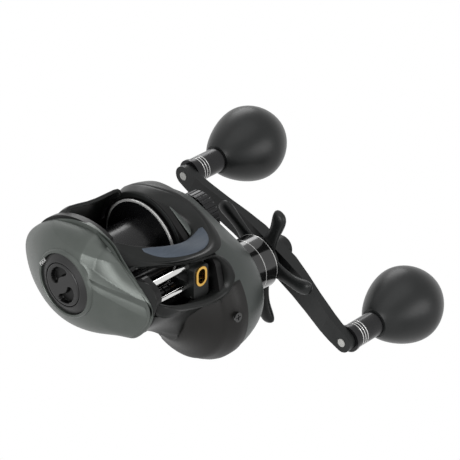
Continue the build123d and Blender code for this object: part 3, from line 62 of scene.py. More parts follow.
def spread(tree, fac, low, high, start=0.3, stop=0.7):
    """A factor from start to stop becomes a value from low to high."""
    node = tree.nodes.new("ShaderNodeMapRange")
    for name, value in (("From Min", start), ("From Max", stop), ("To Min", low), ("To Max", high)):
        node.inputs[name].default_value = value
    tree.links.new(fac, node.inputs["Value"])
    return node.outputs["Result"]


def tint(tree, fac, dark, light):
    """A factor becomes a colour between dark and light."""
    node = tree.nodes.new("ShaderNodeValToRGB")
    for end, place, colour in zip(node.color_ramp.elements, (0.3, 0.7), (dark, light)):
        end.position = place
        end.color = (*colour, 1.0)
    tree.links.new(fac, node.inputs["Fac"])
    return node.outputs["Color"]


CLOUD_SCALE, CLOUD_DETAIL = 90.0, 3.0
GRAIN_DEPTH = 0.04 * MM
COAT_ROUGHNESS = 0.1


def finish(name, dark, light, roughness, metallic=0.0, grain=2500.0, bump=0.02, coat=0.0, specular=0.5,
           stretch=None):
    """Finish with a colour clouded between dark and light, a roughness that varies and a fine grain."""
    material = bpy.data.materials.new(name)
    material.use_nodes = True
    tree = material.node_tree
    shader = tree.nodes["Principled BSDF"]
    place = tree.nodes.new("ShaderNodeTexCoord").outputs["Object"]
    if stretch:
        mapping = tree.nodes.new("ShaderNodeMapping")
        mapping.inputs["Scale"].default_value = stretch
        tree.links.new(place, mapping.inputs["Vector"])
        place = mapping.outputs["Vector"]
    patches = noise(tree, place, CLOUD_SCALE, CLOUD_DETAIL)
    tree.links.new(tint(tree, patches, dark, light), shader.inputs["Base Color"])
    fine = noise(tree, place, grain)
    tree.links.new(spread(tree, fine, *roughness), shader.inputs["Roughness"])
    relief = tree.nodes.new("ShaderNodeBump")
    relief.inputs["Strength"].default_value = bump
    relief.inputs["Distance"].default_value = GRAIN_DEPTH
    tree.links.new(fine, relief.inputs["Height"])
    tree.links.new(relief.outputs["Normal"], shader.inputs["Normal"])
    shader.inputs["Metallic"].default_value = metallic
    shader.inputs["Coat Weight"].default_value = coat
    shader.inputs["Coat Roughness"].default_value = COAT_ROUGHNESS
    shader.inputs["Specular IOR Level"].default_value = specular
    return material


gunmetal = finish("satin_gunmetal", (0.072, 0.082, 0.074), (0.086, 0.096, 0.088), (0.34, 0.44),
                  metallic=0.35, bump=0.12)
cover_grey = finish("satin_cover_grey", (0.052, 0.060, 0.056), (0.062, 0.070, 0.066), (0.36, 0.46),
                    metallic=0.35, bump=0.12)
hood_black = finish("satin_hood_black", (0.006, 0.0065, 0.0062), (0.010, 0.011, 0.0105), (0.32, 0.42),
                    bump=0.15, specular=0.22)
panel_black = finish("moulded_panel_black", (0.0065, 0.006, 0.0055), (0.0095, 0.0088, 0.008),
                     (0.40, 0.50), bump=0.3, specular=0.25)
frame_black = finish("satin_frame_black", (0.005, 0.005, 0.005), (0.008, 0.008, 0.008), (0.32, 0.42),
                     specular=0.2)
gloss_black = finish("gloss_black", (0.004, 0.004, 0.004), (0.007, 0.007, 0.007), (0.12, 0.2),
                     coat=0.4)
# near-black for the insides of the dial's pockets: painted shade in the recesses, darker than the dial's own
# black
pocket_painted_shade = finish("pocket_painted_shade", (0.0015, 0.0015, 0.0015), (0.003, 0.003, 0.003), (0.35, 0.45),
                      bump=0.2, specular=0.2)
dial_black = finish("dial_black", (0.008, 0.008, 0.008), (0.012, 0.012, 0.012), (0.34, 0.44), bump=0.2,
                    specular=0.4)
strip_blue = finish("strip_blue_grey", (0.050, 0.064, 0.084), (0.064, 0.080, 0.104), (0.5, 0.62),
                    metallic=0.3, stretch=(1.0, 14.0, 14.0), grain=900.0, bump=0.1)
knob_black = finish("satin_knob_charcoal", (0.011, 0.012, 0.012), (0.016, 0.017, 0.017), (0.30, 0.40),
                    bump=0.2, grain=3500.0, specular=0.28)
arm_black = finish("satin_arm_black", (0.009, 0.010, 0.010), (0.014, 0.015, 0.015), (0.32, 0.42),
                   specular=0.24)
anodised = finish("black_anodised", (0.010, 0.010, 0.011), (0.016, 0.016, 0.017), (0.2, 0.3),
                  metallic=0.5)
spool_black = finish("spool_black", (0.003, 0.003, 0.0035), (0.006, 0.006, 0.0065), (0.2, 0.3),
                     specular=0.35)
chrome = finish("chrome", (0.62, 0.62, 0.61), (0.72, 0.72, 0.71), (0.08, 0.16), metallic=1.0, bump=0.01)
steel = finish("ground_steel", (0.40, 0.41, 0.42), (0.50, 0.51, 0.52), (0.24, 0.36), metallic=1.0,
               stretch=(1.0, 18.0, 18.0), grain=800.0)
rivet_grey = finish("rivet_grey", (0.46, 0.46, 0.44), (0.54, 0.54, 0.52), (0.35, 0.5), metallic=0.2)
brass = finish("machined_brass", (0.50, 0.34, 0.12), (0.62, 0.44, 0.18), (0.22, 0.34), metallic=1.0,
               grain=1200.0)
gold = finish("gold_nitride", (0.62, 0.36, 0.075), (0.74, 0.45, 0.11), (0.14, 0.24), metallic=1.0)
magnet_grey = finish("nickel_magnet", (0.28, 0.29, 0.31), (0.36, 0.37, 0.39), (0.2, 0.3), metallic=1.0)
bright_line = finish("bright_line", (0.58, 0.58, 0.57), (0.70, 0.70, 0.69), (0.22, 0.32), metallic=0.4)
fibre_black = finish("fibre_washer", (0.012, 0.012, 0.012), (0.03, 0.03, 0.03), (0.55, 0.7), grain=1500.0,
                     bump=0.5)

FINISHES = {"frame": frame_black, "reel_foot": frame_black, "hood": hood_black,
            "lower_front_cover": panel_black, "palm_cover": gunmetal, "gear_cover": cover_grey,
            "hood_insert": strip_blue, "thumb_bar": hood_black, "brake_dial": dial_black,
            "brake_scale_ring": dial_black, "brake_housing": frame_black, "magnet_holder": frame_black,
            "clutch_yoke": frame_black, "clutch_cam": frame_black, "idler_gear": frame_black,
            "tension_spacer": frame_black, "line_guide": hood_black, "spool": spool_black,
            "brake_rotor": steel, "guide_rod_upper": chrome, "guide_rod_lower": chrome,
            "main_gear": brass, "pinion_gear": brass, "line_guide_pawl": brass,
            "level_wind_drive_gear": brass, "worm_gear": brass, "line_guide_ring": gold,
            "drag_collar": gloss_black, "tension_cap": anodised, "star_drag": arm_black,
            "knob_sleeve_upper": anodised, "knob_sleeve_lower": anodised, "handle_nut": arm_black,
            "handle_arm": arm_black, "brake_magnets": magnet_grey, "fibre_drag_washers": fibre_black,
            "drag_springs": steel, "yoke_springs": steel, "knob_ball_upper": knob_black,
            "knob_ball_lower": knob_black, "knob_spindles": rivet_grey, "front_cover_screw": gloss_black,
            "handle_spacer": anodised, "worm_shaft": anodised}
for node_name, node in nodes.items():
    node.data.materials.clear()
    node.data.materials.append(FINISHES.get(node_name, steel))

# ---------------------------------------------------------------- camera, floor and light
scene = bpy.context.scene
scene.view_settings.view_transform = "Standard"
camera = bpy.data.objects.new("camera", bpy.data.cameras.new("camera"))
camera.data.lens = 176.9
camera.data.sensor_width = 36.0
camera.data.clip_start = 0.05
camera.location = (-0.56777, -0.59357, 0.50288)
toward = Vector((0.6363, 0.5933, -0.4930))
camera.rotation_euler = toward.to_track_quat("-Z", "Y").to_euler()
scene.collection.objects.link(camera)
scene.camera = camera

MIDDLE = (0.02, -0.01, 0.02)


def lamp(name, place, size, power):
    """Round soft box, looking at the middle of the reel."""
    light = bpy.data.lights.new(name, "AREA")
    light.shape = "DISK"
    light.size = size
    light.energy = power
    thing = bpy.data.objects.new(name, light)
    thing.location = place
    thing.rotation_euler = (Vector(MIDDLE) - Vector(place)).to_track_quat("-Z", "Y").to_euler()
    scene.collection.objects.link(thing)


lamp("softbox_above", (-0.10, -0.10, 0.95), 0.9, 1.7)
lamp("softbox_left", (-0.95, -0.25, 0.30), 0.6, 7.0)
lamp("softbox_front", (0.15, -1.05, 0.20), 0.7, 4.0)
lamp("softbox_back", (0.65, 0.75, 0.60), 0.6, 3.0)


def whitened(tree):
    """1 for rays that only look at the background, directly, through glass or in a gloss; 0 for its light."""
    path = tree.nodes.new("ShaderNodeLightPath")
    looked = path.outputs["Is Camera Ray"]
    for ray in ("Is Transmission Ray", "Is Glossy Ray"):
        either = tree.nodes.new("ShaderNodeMath")
        either.operation = "MAXIMUM"
        tree.links.new(looked, either.inputs[0])
        tree.links.new(path.outputs[ray], either.inputs[1])
        looked = either.outputs[0]
    return looked


def pale(name):
    """White to the camera, pale grey for the light that it sends back."""
    material = bpy.data.materials.new(name)
    material.use_nodes = True
    tree = material.node_tree
    tree.nodes.clear()
    matt = tree.nodes.new("ShaderNodeBsdfDiffuse")
    place = tree.nodes.new("ShaderNodeTexCoord").outputs["Object"]
    clouded = tint(tree, noise(tree, place, 6.0), (0.60, 0.60, 0.60), (0.62, 0.62, 0.62))
    tree.links.new(clouded, matt.inputs["Color"])
    glow = tree.nodes.new("ShaderNodeEmission")
    blend = tree.nodes.new("ShaderNodeMixShader")
    tree.links.new(whitened(tree), blend.inputs[0])
    tree.links.new(matt.outputs[0], blend.inputs[1])
    tree.links.new(glow.outputs[0], blend.inputs[2])
    out = tree.nodes.new("ShaderNodeOutputMaterial")
    tree.links.new(blend.outputs[0], out.inputs["Surface"])
    return material


world = bpy.data.worlds.new("studio")
world.use_nodes = True
scene.world = world
tree = world.node_tree
background = tree.nodes["Background"]
WORLD_LIGHT = 0.15             # the world looks white but lights only this much
tree.links.new(spread(tree, whitened(tree), WORLD_LIGHT, 1.0, 0.0, 1.0), background.inputs["Strength"])
background.inputs["Color"].default_value = (1.0, 1.0, 1.0, 1.0)

FLOOR_Z = -0.070
shape = bmesh.new()
bmesh.ops.create_grid(shape, x_segments=1, y_segments=1, size=3.0)
bmesh.ops.translate(shape, verts=shape.verts, vec=(0.0, 0.0, FLOOR_Z))
mesh = bpy.data.meshes.new("floor")
shape.to_mesh(mesh)
shape.free()
floor = bpy.data.objects.new("floor", mesh)
scene.collection.objects.link(floor)
floor.data.materials.append(pale("pale_floor"))


# ---------------------------------------------------------------- making pieces
def skin(rings, closed=True):
    """Skin over a run of rings or open lines, each given as points in millimetres."""
    shape = bmesh.new()
    runs = []
    for ring in rings:
        verts = [shape.verts.new(Vector(p) * MM) for p in ring]
        pairs = list(zip(verts, verts[1:])) + ([(verts[-1], verts[0])] if closed else [])
        runs.append([shape.edges.new(pair) for pair in pairs])
    for one, other in zip(runs, runs[1:]):
        bmesh.ops.bridge_loops(shape, edges=one + other)
    return shape


def turned(profile, centre, steps=96, close=False):
    """Full turn of a profile of (x, radius) points round an axle at centre, given as Y and Z."""
    shape = bmesh.new()
    verts = [shape.verts.new(Vector((x, centre[0], centre[1] + r)) * MM) for x, r in profile]
    pairs = list(zip(verts, verts[1:])) + ([(verts[-1], verts[0])] if close else [])
    edges = [shape.edges.new(pair) for pair in pairs]
    bmesh.ops.spin(shape, geom=verts + edges, cent=Vector((0.0, *centre)) * MM, axis=(1, 0, 0),
                   dvec=(0, 0, 0), angle=2 * pi, steps=steps, use_merge=True)
    bmesh.ops.remove_doubles(shape, verts=shape.verts, dist=1e-6)
    return shape


def plate(outline, x_from, x_to):
    """Flat plate square to X, from an outline of (y, z) points."""
    shape = bmesh.new()
    verts = [shape.verts.new(Vector((x_from, y, z)) * MM) for y, z in outline]
    face = shape.faces.new(verts)
    grown = bmesh.ops.extrude_face_region(shape, geom=[face])["geom"]
    bmesh.ops.translate(shape, verts=[g for g in grown if isinstance(g, bmesh.types.BMVert)],
                        vec=((x_to - x_from) * MM, 0, 0))
    return shape


def soften(shape, width):
    """Bevel every sharp edge."""
    sharp = [e for e in shape.edges if len(e.link_faces) == 2 and e.calc_face_angle(0.0) > radians(30.0)]
    bmesh.ops.bevel(shape, geom=sharp, offset=width * MM, offset_type="OFFSET", segments=2,
                    profile=0.5, affect="EDGES", clamp_overlap=True, material=-1)


def score(shape, point, normal):
    """Lay an edge in the shape where a plane meets it."""
    geom = list(shape.verts) + list(shape.edges) + list(shape.faces)
    bmesh.ops.bisect_plane(shape, geom=geom, dist=1e-7, plane_co=Vector(point) * MM, plane_no=Vector(normal))


SHARP_FROM = radians(38.0)     # faces that meet at more than this show an edge


def piece(name, shape, finish_used, body, covers=(), round_levels=0, wall=0.0, edge=0.0):
    """Make the shape an object, give it its wall and finish, and let it ride on a body."""
    bmesh.ops.remove_doubles(shape, verts=shape.verts, dist=1e-6)
    bmesh.ops.recalc_face_normals(shape, faces=shape.faces)
    mesh = bpy.data.meshes.new(name)
    shape.to_mesh(mesh)
    shape.free()
    thing = bpy.data.objects.new(name, mesh)
    scene.collection.objects.link(thing)
    mesh.materials.append(finish_used)
    for polygon in mesh.polygons:
        polygon.use_smooth = True
    mesh.set_sharp_from_angle(angle=SHARP_FROM)
    if round_levels:
        rounding = thing.modifiers.new("rounding", "SUBSURF")
        rounding.levels = rounding.render_levels = round_levels
    if wall:
        walls = thing.modifiers.new("wall", "SOLIDIFY")
        walls.thickness = wall * MM
        walls.offset = -1.0    # inwards
    if edge:
        edges = thing.modifiers.new("edge", "BEVEL")
        edges.width = edge * MM
        edges.segments = 2
        edges.limit_method = "ANGLE"
        edges.angle_limit = radians(35.0)
    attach(thing, body)
    if covers:
        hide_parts(*covers)
    return thing


def polar(centre, radius, angle):
    """Y and Z of a place round a centre; the angle is in degrees, from +Y towards +Z."""
    return centre[0] + radius * cos(radians(angle)), centre[1] + radius * sin(radians(angle))


def taut(x, circles, count=96):
    """Points of a taut outline round circles of (centre, radius), square to X, by the way that each faces."""
    ring = []
    for i in range(count):
        turn = radians(360.0 * i / count)
        u, w = cos(turn), sin(turn)
        centre, radius = max(circles, key=lambda c: c[0][0] * u + c[0][1] * w + c[1])
        ring.append((x, centre[0] + radius * u, centre[1] + radius * w))
    return ring


def clamp(value):
    """The value, kept from 0 to 1."""
    return min(max(value, 0.0), 1.0)


# ---------------------------------------------------------------- palm cover
palm_rim = [(37.5, 22.5), (36.6, 28.0), (33.9, 32.8), (29.2, 37.2), (21.6, 42.6), (13.0, 46.6),
            (5.0, 49.0), (-3.5, 49.8), (-11.5, 48.6), (-17.2, 46.6), (-19.6, 44.4), (-24.4, 38.7),
            (-31.4, 32.6), (-37.4, 27.6), (-39.6, 24.0), (-39.2, 18.6), (-36.0, 13.2), (-31.7, 8.4),
            (-27.5, 4.8), (-21.5, 4.2), (-14.5, 2.4), (-5.5, 0.0), (4.5, -1.0), (13.5, -0.6), (22.5, 0.6),
            (30.2, 5.2), (35.2, 12.6)]
LIP_R = 15.2                   # where the cover meets the dial's lip
RIM_X = -18.8                  # how far out the rim stands
SKIRT = 1.9                    # how far the rim laps over the frame
SKIRT_FROM_Y, SKIRT_RUN = -13.0, 9.0   # the lap begins behind the nose and grows over this run
SHORT_REACH, NOSE_REACH = 12.0, 25.0   # from the lip to the rim
# where each ring stands: its X, and its share of the way from the lip to the rim, for a short reach and for
# the nose
palm_levels = [(-18.55, 0.78, 0.86), (-18.6, 0.99, 0.99), (RIM_X - 0.1, 1.012, 1.0), (-19.4, 1.01, 0.98),
               (-21.0, 0.985, 0.83), (-23.6, 0.89, 0.60), (-26.0, 0.69, 0.38), (-28.0, 0.42, 0.19),
               (-29.4, 0.15, 0.07), (-29.9, 0.0, 0.0)]


def palm_ring(x, short_share, long_share):
    """Ring of the palm cover round the spool axis, some way between the dial's lip and the rim."""
    ring = []
    for y, z in palm_rim:
        dy, dz = y - SPOOL[0], z - SPOOL[1]
        reach = hypot(dy, dz)
        length = reach - LIP_R
        blend = clamp((length - SHORT_REACH) / (NOSE_REACH - SHORT_REACH))
        share = short_share + (long_share - short_share) * blend
        r = LIP_R + length * share
        skirt = clamp((y - SKIRT_FROM_Y) / SKIRT_RUN) * SKIRT if x > RIM_X - 0.2 else 0.0
        ring.append((x + skirt, SPOOL[0] + dy / reach * r, SPOOL[1] + dz / reach * r))
    return ring


def rounded(shape, levels):
    """Divide a skin smoothly and keep the result as the shape."""
    mesh = bpy.data.meshes.new("rounding")
    shape.to_mesh(mesh)
    shape.free()
    thing = bpy.data.objects.new("rounding", mesh)
    scene.collection.objects.link(thing)
    rounding = thing.modifiers.new("rounding", "SUBSURF")
    rounding.levels = rounding.render_levels = levels
    done = bpy.data.meshes.new_from_object(thing.evaluated_get(bpy.context.evaluated_depsgraph_get()))
    bpy.data.objects.remove(thing)
    finer = bmesh.new()
    finer.from_mesh(done)
    return finer


def side_line(one, other):
    """Line through two (y, z) points on the cover's side: a point and the unit normal on its upper side."""
    dy, dz = other[0] - one[0], other[1] - one[1]
    length = hypot(dy, dz)
    normal = (-dz / length, dy / length) if dy > 0 else (dz / length, -dy / length)
    return one, normal


def above(line, y, z):
    """How far a place lies above a side line."""
    (y0, z0), (ny, nz) = line
    return (y - y0) * ny + (z - z0) * nz


# shoulder lines of the cover, from the rear towards the nose, and how steeply the faces beside them fall away
TOP_SLOPE, SHELF_SLOPE, RIDGE_SLOPE = 0.30, 0.55, 0.22
TOP_REACH = 6.0                # this far above its line the top face stops falling away
SHELF_FROM_Y, SHELF_RUN = -8.5, 6.0    # the shelf begins here and deepens over this run
RIDGE_LEAD = 1.5               # how much faster a face sinks from the shoulder than from the ridge
RIM_FLANK_X = -19.2            # the rim's own flank stays as it is
upper_shoulder = side_line((1.5, 43.2), (-17.0, 41.2))
shelf_top = side_line((-8.5, 39.2), (-19.5, 34.1))
lower_shoulder = side_line((-10.0, 34.0), (-37.8, 26.6))
nose_ridge = side_line((-9.5, 31.5), (-36.0, 19.5))

palm = rounded(skin([palm_ring(*level) for level in palm_levels]), 3)
for line in (upper_shoulder, shelf_top, lower_shoulder, nose_ridge):
    (y0, z0), (ny, nz) = line
    score(palm, (0.0, y0, z0), (0.0, ny, nz))
bmesh.ops.recalc_face_normals(palm, faces=palm.faces)
palm.normal_update()
outward = {v: v.normal.copy() for v in palm.verts}
for v in palm.verts:
    if v.co.x >= RIM_FLANK_X * MM:
        continue
    y, z = v.co.y / MM, v.co.z / MM
    top, low, ridge = above(upper_shoulder, y, z), above(lower_shoulder, y, z), above(nose_ridge, y, z)
    gap = low - above(shelf_top, y, z)
    forward = clamp((SHELF_FROM_Y - y) / SHELF_RUN)
    sink = TOP_SLOPE * min(top, TOP_REACH) if top > 0.0 else 0.0
    if low > 0.0 and gap > 0.0:
        sink += SHELF_SLOPE * min(low, gap) * forward
    if ridge > 0.0 and low < 0.0:
        sink += RIDGE_SLOPE * min(ridge, -low * RIDGE_LEAD) * forward
    v.co -= outward[v] * sink * MM
piece("palm_cover_shell", palm, gunmetal, "reel_body", covers=("palm_cover",),
      wall=1.4)

dial_lip = turned([(-28.6, 15.6), (-30.0, 15.35), (-31.0, 15.1), (-31.5, 14.7), (-31.6, 14.2),
                   (-31.3, 13.75), (-28.6, 13.6)], SPOOL, close=True)
piece("palm_cover_lip", dial_lip, gunmetal, "reel_body")

# ---------------------------------------------------------------- hood
# stations from behind the spool, over the crank side, round the front corner and along the bar to the palm
# side: back edge over the spool, crest, rim
hood_stations = [
    ((14.8, 15.8, 43.0), (20.5, 17.0, 44.4), (28.3, 15.9, 43.0)),
    ((14.8, 11.1, 46.3), (20.5, 11.9, 47.9), (28.4, 11.2, 46.4)),
    ((14.8, 4.9, 48.6), (20.8, 5.3, 50.3), (28.4, 4.9, 48.8)),
    ((15.0, -0.8, 49.1), (21.5, -0.9, 50.8), (28.4, -0.8, 49.3)),
    ((15.6, -5.5, 48.6), (23.5, -6.1, 50.3), (28.4, -5.8, 48.7)),
    ((16.8, -9.2, 47.6), (25.2, -10.2, 49.4), (28.4, -10.0, 47.8)),
    ((19.6, -13.8, 44.6), (26.2, -15.2, 47.8), (28.4, -15.0, 46.2)),
    ((21.4, -19.0, 41.9), (26.4, -20.6, 45.6), (28.4, -20.2, 44.2)),
    ((21.4, -22.8, 39.5), (25.8, -26.0, 43.1), (28.2, -25.8, 41.9)),
    ((19.6, -24.8, 38.3), (24.0, -31.0, 40.9), (27.2, -32.0, 39.2)),
    ((16.5, -25.7, 37.9), (21.2, -36.0, 38.8), (24.6, -37.4, 37.0)),
    ((13.5, -26.8, 38.1), (17.0, -38.8, 37.7), (20.3, -40.6, 36.4)),
    ((9.0, -27.9, 39.0), (10.8, -39.0, 37.4), (13.0, -41.2, 36.7)),
    ((4.5, -27.5, 39.9), (4.8, -36.4, 36.9), (6.0, -39.2, 36.6)),
    ((0.0, -26.1, 40.5), (0.0, -32.9, 36.3), (0.8, -36.6, 36.1)),
    ((-5.0, -23.3, 41.5), (-5.0, -29.1, 36.4), (-5.0, -31.6, 35.6)),
    ((-10.0, -19.9, 42.6), (-10.0, -25.4, 37.4), (-10.0, -27.6, 35.6)),
    ((-14.5, -16.9, 44.6), (-14.5, -21.8, 39.1), (-14.5, -24.0, 35.3)),
    ((-18.4, -14.9, 46.4), (-18.5, -17.4, 41.4), (-18.6, -20.6, 34.6)),
]
hood_edge, hood_crest, hood_rim = (list(line) for line in zip(*hood_stations))


def between(one, other, share, lift=0.0):
    """Line some share of the way from one line to another, lifted in Z."""
    return [tuple(a + (b - a) * share + (lift if i == 2 else 0.0) for i, (a, b) in enumerate(zip(p, q)))
            for p, q in zip(one, other)]


def towards(line, target, amount):
    """Each point moved an amount of millimetres towards a point."""
    moved = []
    for p in line:
        way = Vector(target) - Vector(p)
        moved.append(tuple(Vector(p) + way.normalized() * amount))
    return moved


hood_heart = (12.0, -18.0, 22.0)
hood_lines = [towards(hood_edge, hood_heart, 2.6), hood_edge, between(hood_edge, hood_crest, 0.10, 0.15),
              between(hood_edge, hood_crest, 0.5, 0.1), between(hood_edge, hood_crest, 0.84),
              between(hood_edge, hood_crest, 0.90, -0.35), hood_crest,
              between(hood_crest, hood_rim, 0.35, 0.25), between(hood_crest, hood_rim, 0.8, 0.1),
              hood_rim, towards(hood_rim, hood_heart, 2.6)]
hood = rounded(skin(hood_lines, closed=False), 2)
piece("hood_shell", hood, hood_black, "reel_body", covers=("hood",), wall=1.0)

# strip let into the broad face, wide at the crank side and running out to a tip
strip_span = [(8.7, 0.34, 0.60), (9.5, 0.12, 0.78), (10.5, 0.05, 0.83), (11.5, 0.04, 0.84),
              (12.5, 0.04, 0.84), (13.5, 0.04, 0.82), (14.3, 0.05, 0.78), (15.0, 0.08, 0.66),
              (15.6, 0.20, 0.38)]


def strip_line(side, lift):
    """Line along the strip's back (0) or front (1) edge, on the broad face between two stations."""
    line = []
    for index, back, front in strip_span:
        low, part = int(index), index - int(index)
        edge = between([hood_edge[low]], [hood_edge[low + 1]], part)
        crest = between([hood_crest[low]], [hood_crest[low + 1]], part)
        line += between(edge, crest, front if side else back, lift)
    return line


strip_middle = between(strip_line(0, 0.5), strip_line(1, 0.5), 0.5)
strip = rounded(skin([strip_line(0, 0.05), strip_line(0, 0.42), strip_middle, strip_line(1, 0.42),
                      strip_line(1, 0.05)], closed=False), 2)
piece("hood_strip", strip, strip_blue, "reel_body", covers=("hood_insert",), wall=0.3)

mouth_inner = [(-18.5, -24.8, 36.4), (-12.3, -25.4, 35.5), (-7.3, -29.1, 35.3), (-3.0, -33.4, 35.3),
               (2.7, -37.6, 36.1), (9.8, -40.2, 35.9), (16.0, -40.8, 34.5), (18.2, -42.4, 31.2),
               (19.0, -44.0, 27.6), (19.0, -44.6, 24.4), (18.2, -43.9, 21.2), (15.0, -43.3, 19.4),
               (7.0, -42.4, 19.9), (-2.0, -41.9, 21.8), (-10.4, -41.7, 24.5), (-16.3, -40.7, 27.4),
               (-18.2, -36.5, 29.6), (-18.8, -30.5, 32.6)]
mouth_outer = [(-19.0, -21.0, 35.2), (-12.3, -24.6, 36.0), (-7.3, -29.0, 36.2), (-3.0, -33.5, 36.4),
               (2.7, -37.6, 37.0), (9.8, -40.6, 36.9), (18.2, -41.0, 36.1), (21.2, -43.8, 32.4),
               (21.9, -47.1, 29.0), (21.9, -48.2, 25.2), (21.2, -47.3, 20.9), (18.0, -46.1, 16.6),
               (8.0, -45.6, 16.4), (-2.0, -44.0, 18.2), (-10.7, -42.7, 20.8), (-16.2, -40.5, 23.6),
               (-19.0, -38.4, 26.6), (-19.2, -30.4, 30.2)]


def shifted(line, dy, dz):
    """The line moved in Y and Z."""
    return [(x, y + dy, z + dz) for x, y, z in line]


mouth_crest = shifted(between(mouth_inner, mouth_outer, 0.5), dy=-0.5, dz=0.1)
# the sill in front of the line guide's way is thin and stands clear of it
sill = [x < 4.0 and z < 28.0 for x, y, z in mouth_inner]
mouth_back = [(x, y + 0.3, 18.4) if thin else (x, y + 7.0, z - 2.0)
              for (x, y, z), thin in zip(mouth_inner, sill)]
mouth_step = [(x, y, z - 0.4) if thin else (x, y + 0.7, z)
              for (x, y, z), thin in zip(mouth_inner, sill)]
mouth = rounded(skin([mouth_back, mouth_step, mouth_crest, mouth_outer,
                      shifted(mouth_outer, dy=4.0, dz=-2.3)]), 2)
piece("hood_mouth", mouth, hood_black, "reel_body", wall=0.9)

cheek = plate([(-14.9, 46.4), (-17.4, 41.4), (-20.6, 35.4), (-25.0, 36.0), (-29.2, 33.6), (-31.6, 34.4),
               (-34.0, 35.1), (-37.0, 35.0), (-39.8, 32.8), (-41.4, 29.5), (-41.5, 26.6), (-39.8, 22.0),
               (-36.0, 17.5), (-28.0, 20.0), (-18.0, 28.0), (-13.0, 40.0)], -19.0, -18.55)
soften(cheek, 0.12)
piece("hood_cheek", cheek, hood_black, "reel_body")


# ---------------------------------------------------------------- front cover
def arc_skin(profile, centre, start, sweep, steps=60):
    """Part turn of a profile of (x, radius) points, by the angle that each step faces."""
    return skin([[(x, *polar(centre, r, start + sweep * i / steps)) for x, r in profile]
                 for i in range(steps + 1)], closed=False)


front = arc_skin([(6.6, 9.5), (6.2, 11.6), (6.6, 13.4), (8.0, 15.2), (10.0, 17.7), (12.0, 20.2),
                  (13.5, 22.6), (14.6, 24.6), (15.4, 25.7), (17.0, 26.5), (19.0, 27.7), (21.0, 28.7),
                  (22.6, 29.15), (24.4, 29.2), (26.4, 29.15), (26.6, 28.7)], DRIVE, 146.0, 150.0)
piece("front_cover_shell", front, panel_black, "reel_body", covers=("lower_front_cover",),
      wall=0.9)
chin_rows = [
    [(-18.4, -37.5, 19.4), (-9.0, -39.2, 18.0), (2.0, -41.0, 17.0), (9.0, -42.5, 16.4), (15.0, -43.6, 16.4)],
    [(-18.4, -36.6, 15.6), (-8.0, -37.0, 13.6), (2.0, -37.4, 12.4), (8.5, -38.4, 12.4), (13.0, -40.0, 13.0)],
    [(-18.4, -33.4, 11.4), (-8.0, -33.2, 9.2), (2.0, -33.2, 7.4), (7.5, -34.0, 6.6), (10.0, -34.4, 6.4)],
    [(-14.0, -27.6, 6.8), (-8.0, -27.4, 4.0), (-2.0, -27.0, -1.2), (3.5, -27.0, -5.6), (6.8, -27.6, -8.0)],
]
chin = rounded(skin(chin_rows, closed=False), 2)
piece("front_chin", chin, hood_black, "reel_body", wall=1.2)

# ---------------------------------------------------------------- thumb bar and spool edge
thumb = arc_skin([(-15.0, 22.5), (-15.1, 26.4), (-14.5, 27.7), (-12.8, 28.1), (-8.5, 27.5), (-3.5, 26.6),
                  (2.0, 26.1), (12.0, 26.0), (14.0, 25.6), (14.9, 24.6), (15.0, 22.5)], SPOOL, 6.0, 52.0,
                 24)
piece("thumb_bar_shell", thumb, hood_black, "thumb_group", covers=("thumb_bar",),
      wall=1.6, edge=0.5)
rim = turned([(12.95, 19.7), (12.85, 20.3), (13.0, 20.64), (13.3, 20.72), (13.7, 20.68), (13.7, 19.7)],
             SPOOL, close=True)
piece("spool_rim", rim, bright_line, "spool_group")
web = arc_skin([(-15.3, 21.9), (15.3, 21.9)], SPOOL, -28.0, 42.0, 24)
piece("frame_rear_web", web, frame_black, "reel_body", wall=0.6)
bore = turned([(15.1, 21.5), (15.0, 21.9), (15.0, 22.9), (15.15, 23.2), (15.6, 23.3), (15.6, 21.5)],
              SPOOL, close=True)
piece("frame_bore_ring", bore, arm_black, "reel_body")

# ---------------------------------------------------------------- brake dial
DIAL_FACE_X, DIAL_BACK_X, DIAL_R = -32.2, -29.7, 9.5
DIAL_EDGE, EDGE_RISE = 0.7, 0.35   # width and depth of the rounded edge
POCKETS = (52.0, 232.0)        # the way that each pocket's middle faces
POCKET_DEPTH, POCKET_R = 2.0, 5.5
POCKET_HALF_SWEEP, POCKET_HALF_WIDTH = 62.0, 2.3
POCKET_CURL = 1.1              # how far a pocket drifts outwards along its sweep


def dial_rise(r, angle):
    """How deep the dial's face lies at a place: its rounded edge and its two curved finger pockets."""
    rise = EDGE_RISE * max(0.0, (r - DIAL_R + DIAL_EDGE) / DIAL_EDGE) ** 2
    for middle in POCKETS:
        away = ((angle - middle + 180.0) % 360.0 - 180.0) / POCKET_HALF_SWEEP
        across = (r - POCKET_R - POCKET_CURL * away) / POCKET_HALF_WIDTH
        share = clamp(3.0 * (1.0 - abs(away) ** 3.0 - abs(across) ** 2.6))
        rise = max(rise, POCKET_DEPTH * share * share * (3.0 - 2.0 * share))
    return rise


def dial_disc(steps=144, count=30):
    """Dial cap, which the pockets leave with an S-shaped grip across its middle."""
    shape = bmesh.new()
    rows = []
    for k in range(1, count + 1):
        r = DIAL_R * k / count
        ring = [(r, 360.0 * i / steps) for i in range(steps)]
        rows.append([shape.verts.new(Vector((DIAL_FACE_X + dial_rise(*at), *polar(SPOOL, *at))) * MM)
                     for at in ring])
    centre = shape.verts.new(Vector((DIAL_FACE_X, *SPOOL)) * MM)
    for i in range(steps):
        after = (i + 1) % steps
        shape.faces.new((centre, rows[0][i], rows[0][after]))
        for one, other in zip(rows, rows[1:]):
            shape.faces.new((one[i], other[i], other[after], one[after]))
    outer = [e for e in shape.edges if e.is_boundary]
    for v in bmesh.ops.extrude_edge_only(shape, edges=outer)["geom"]:
        if isinstance(v, bmesh.types.BMVert):
            v.co.x = DIAL_BACK_X * MM
    return shape


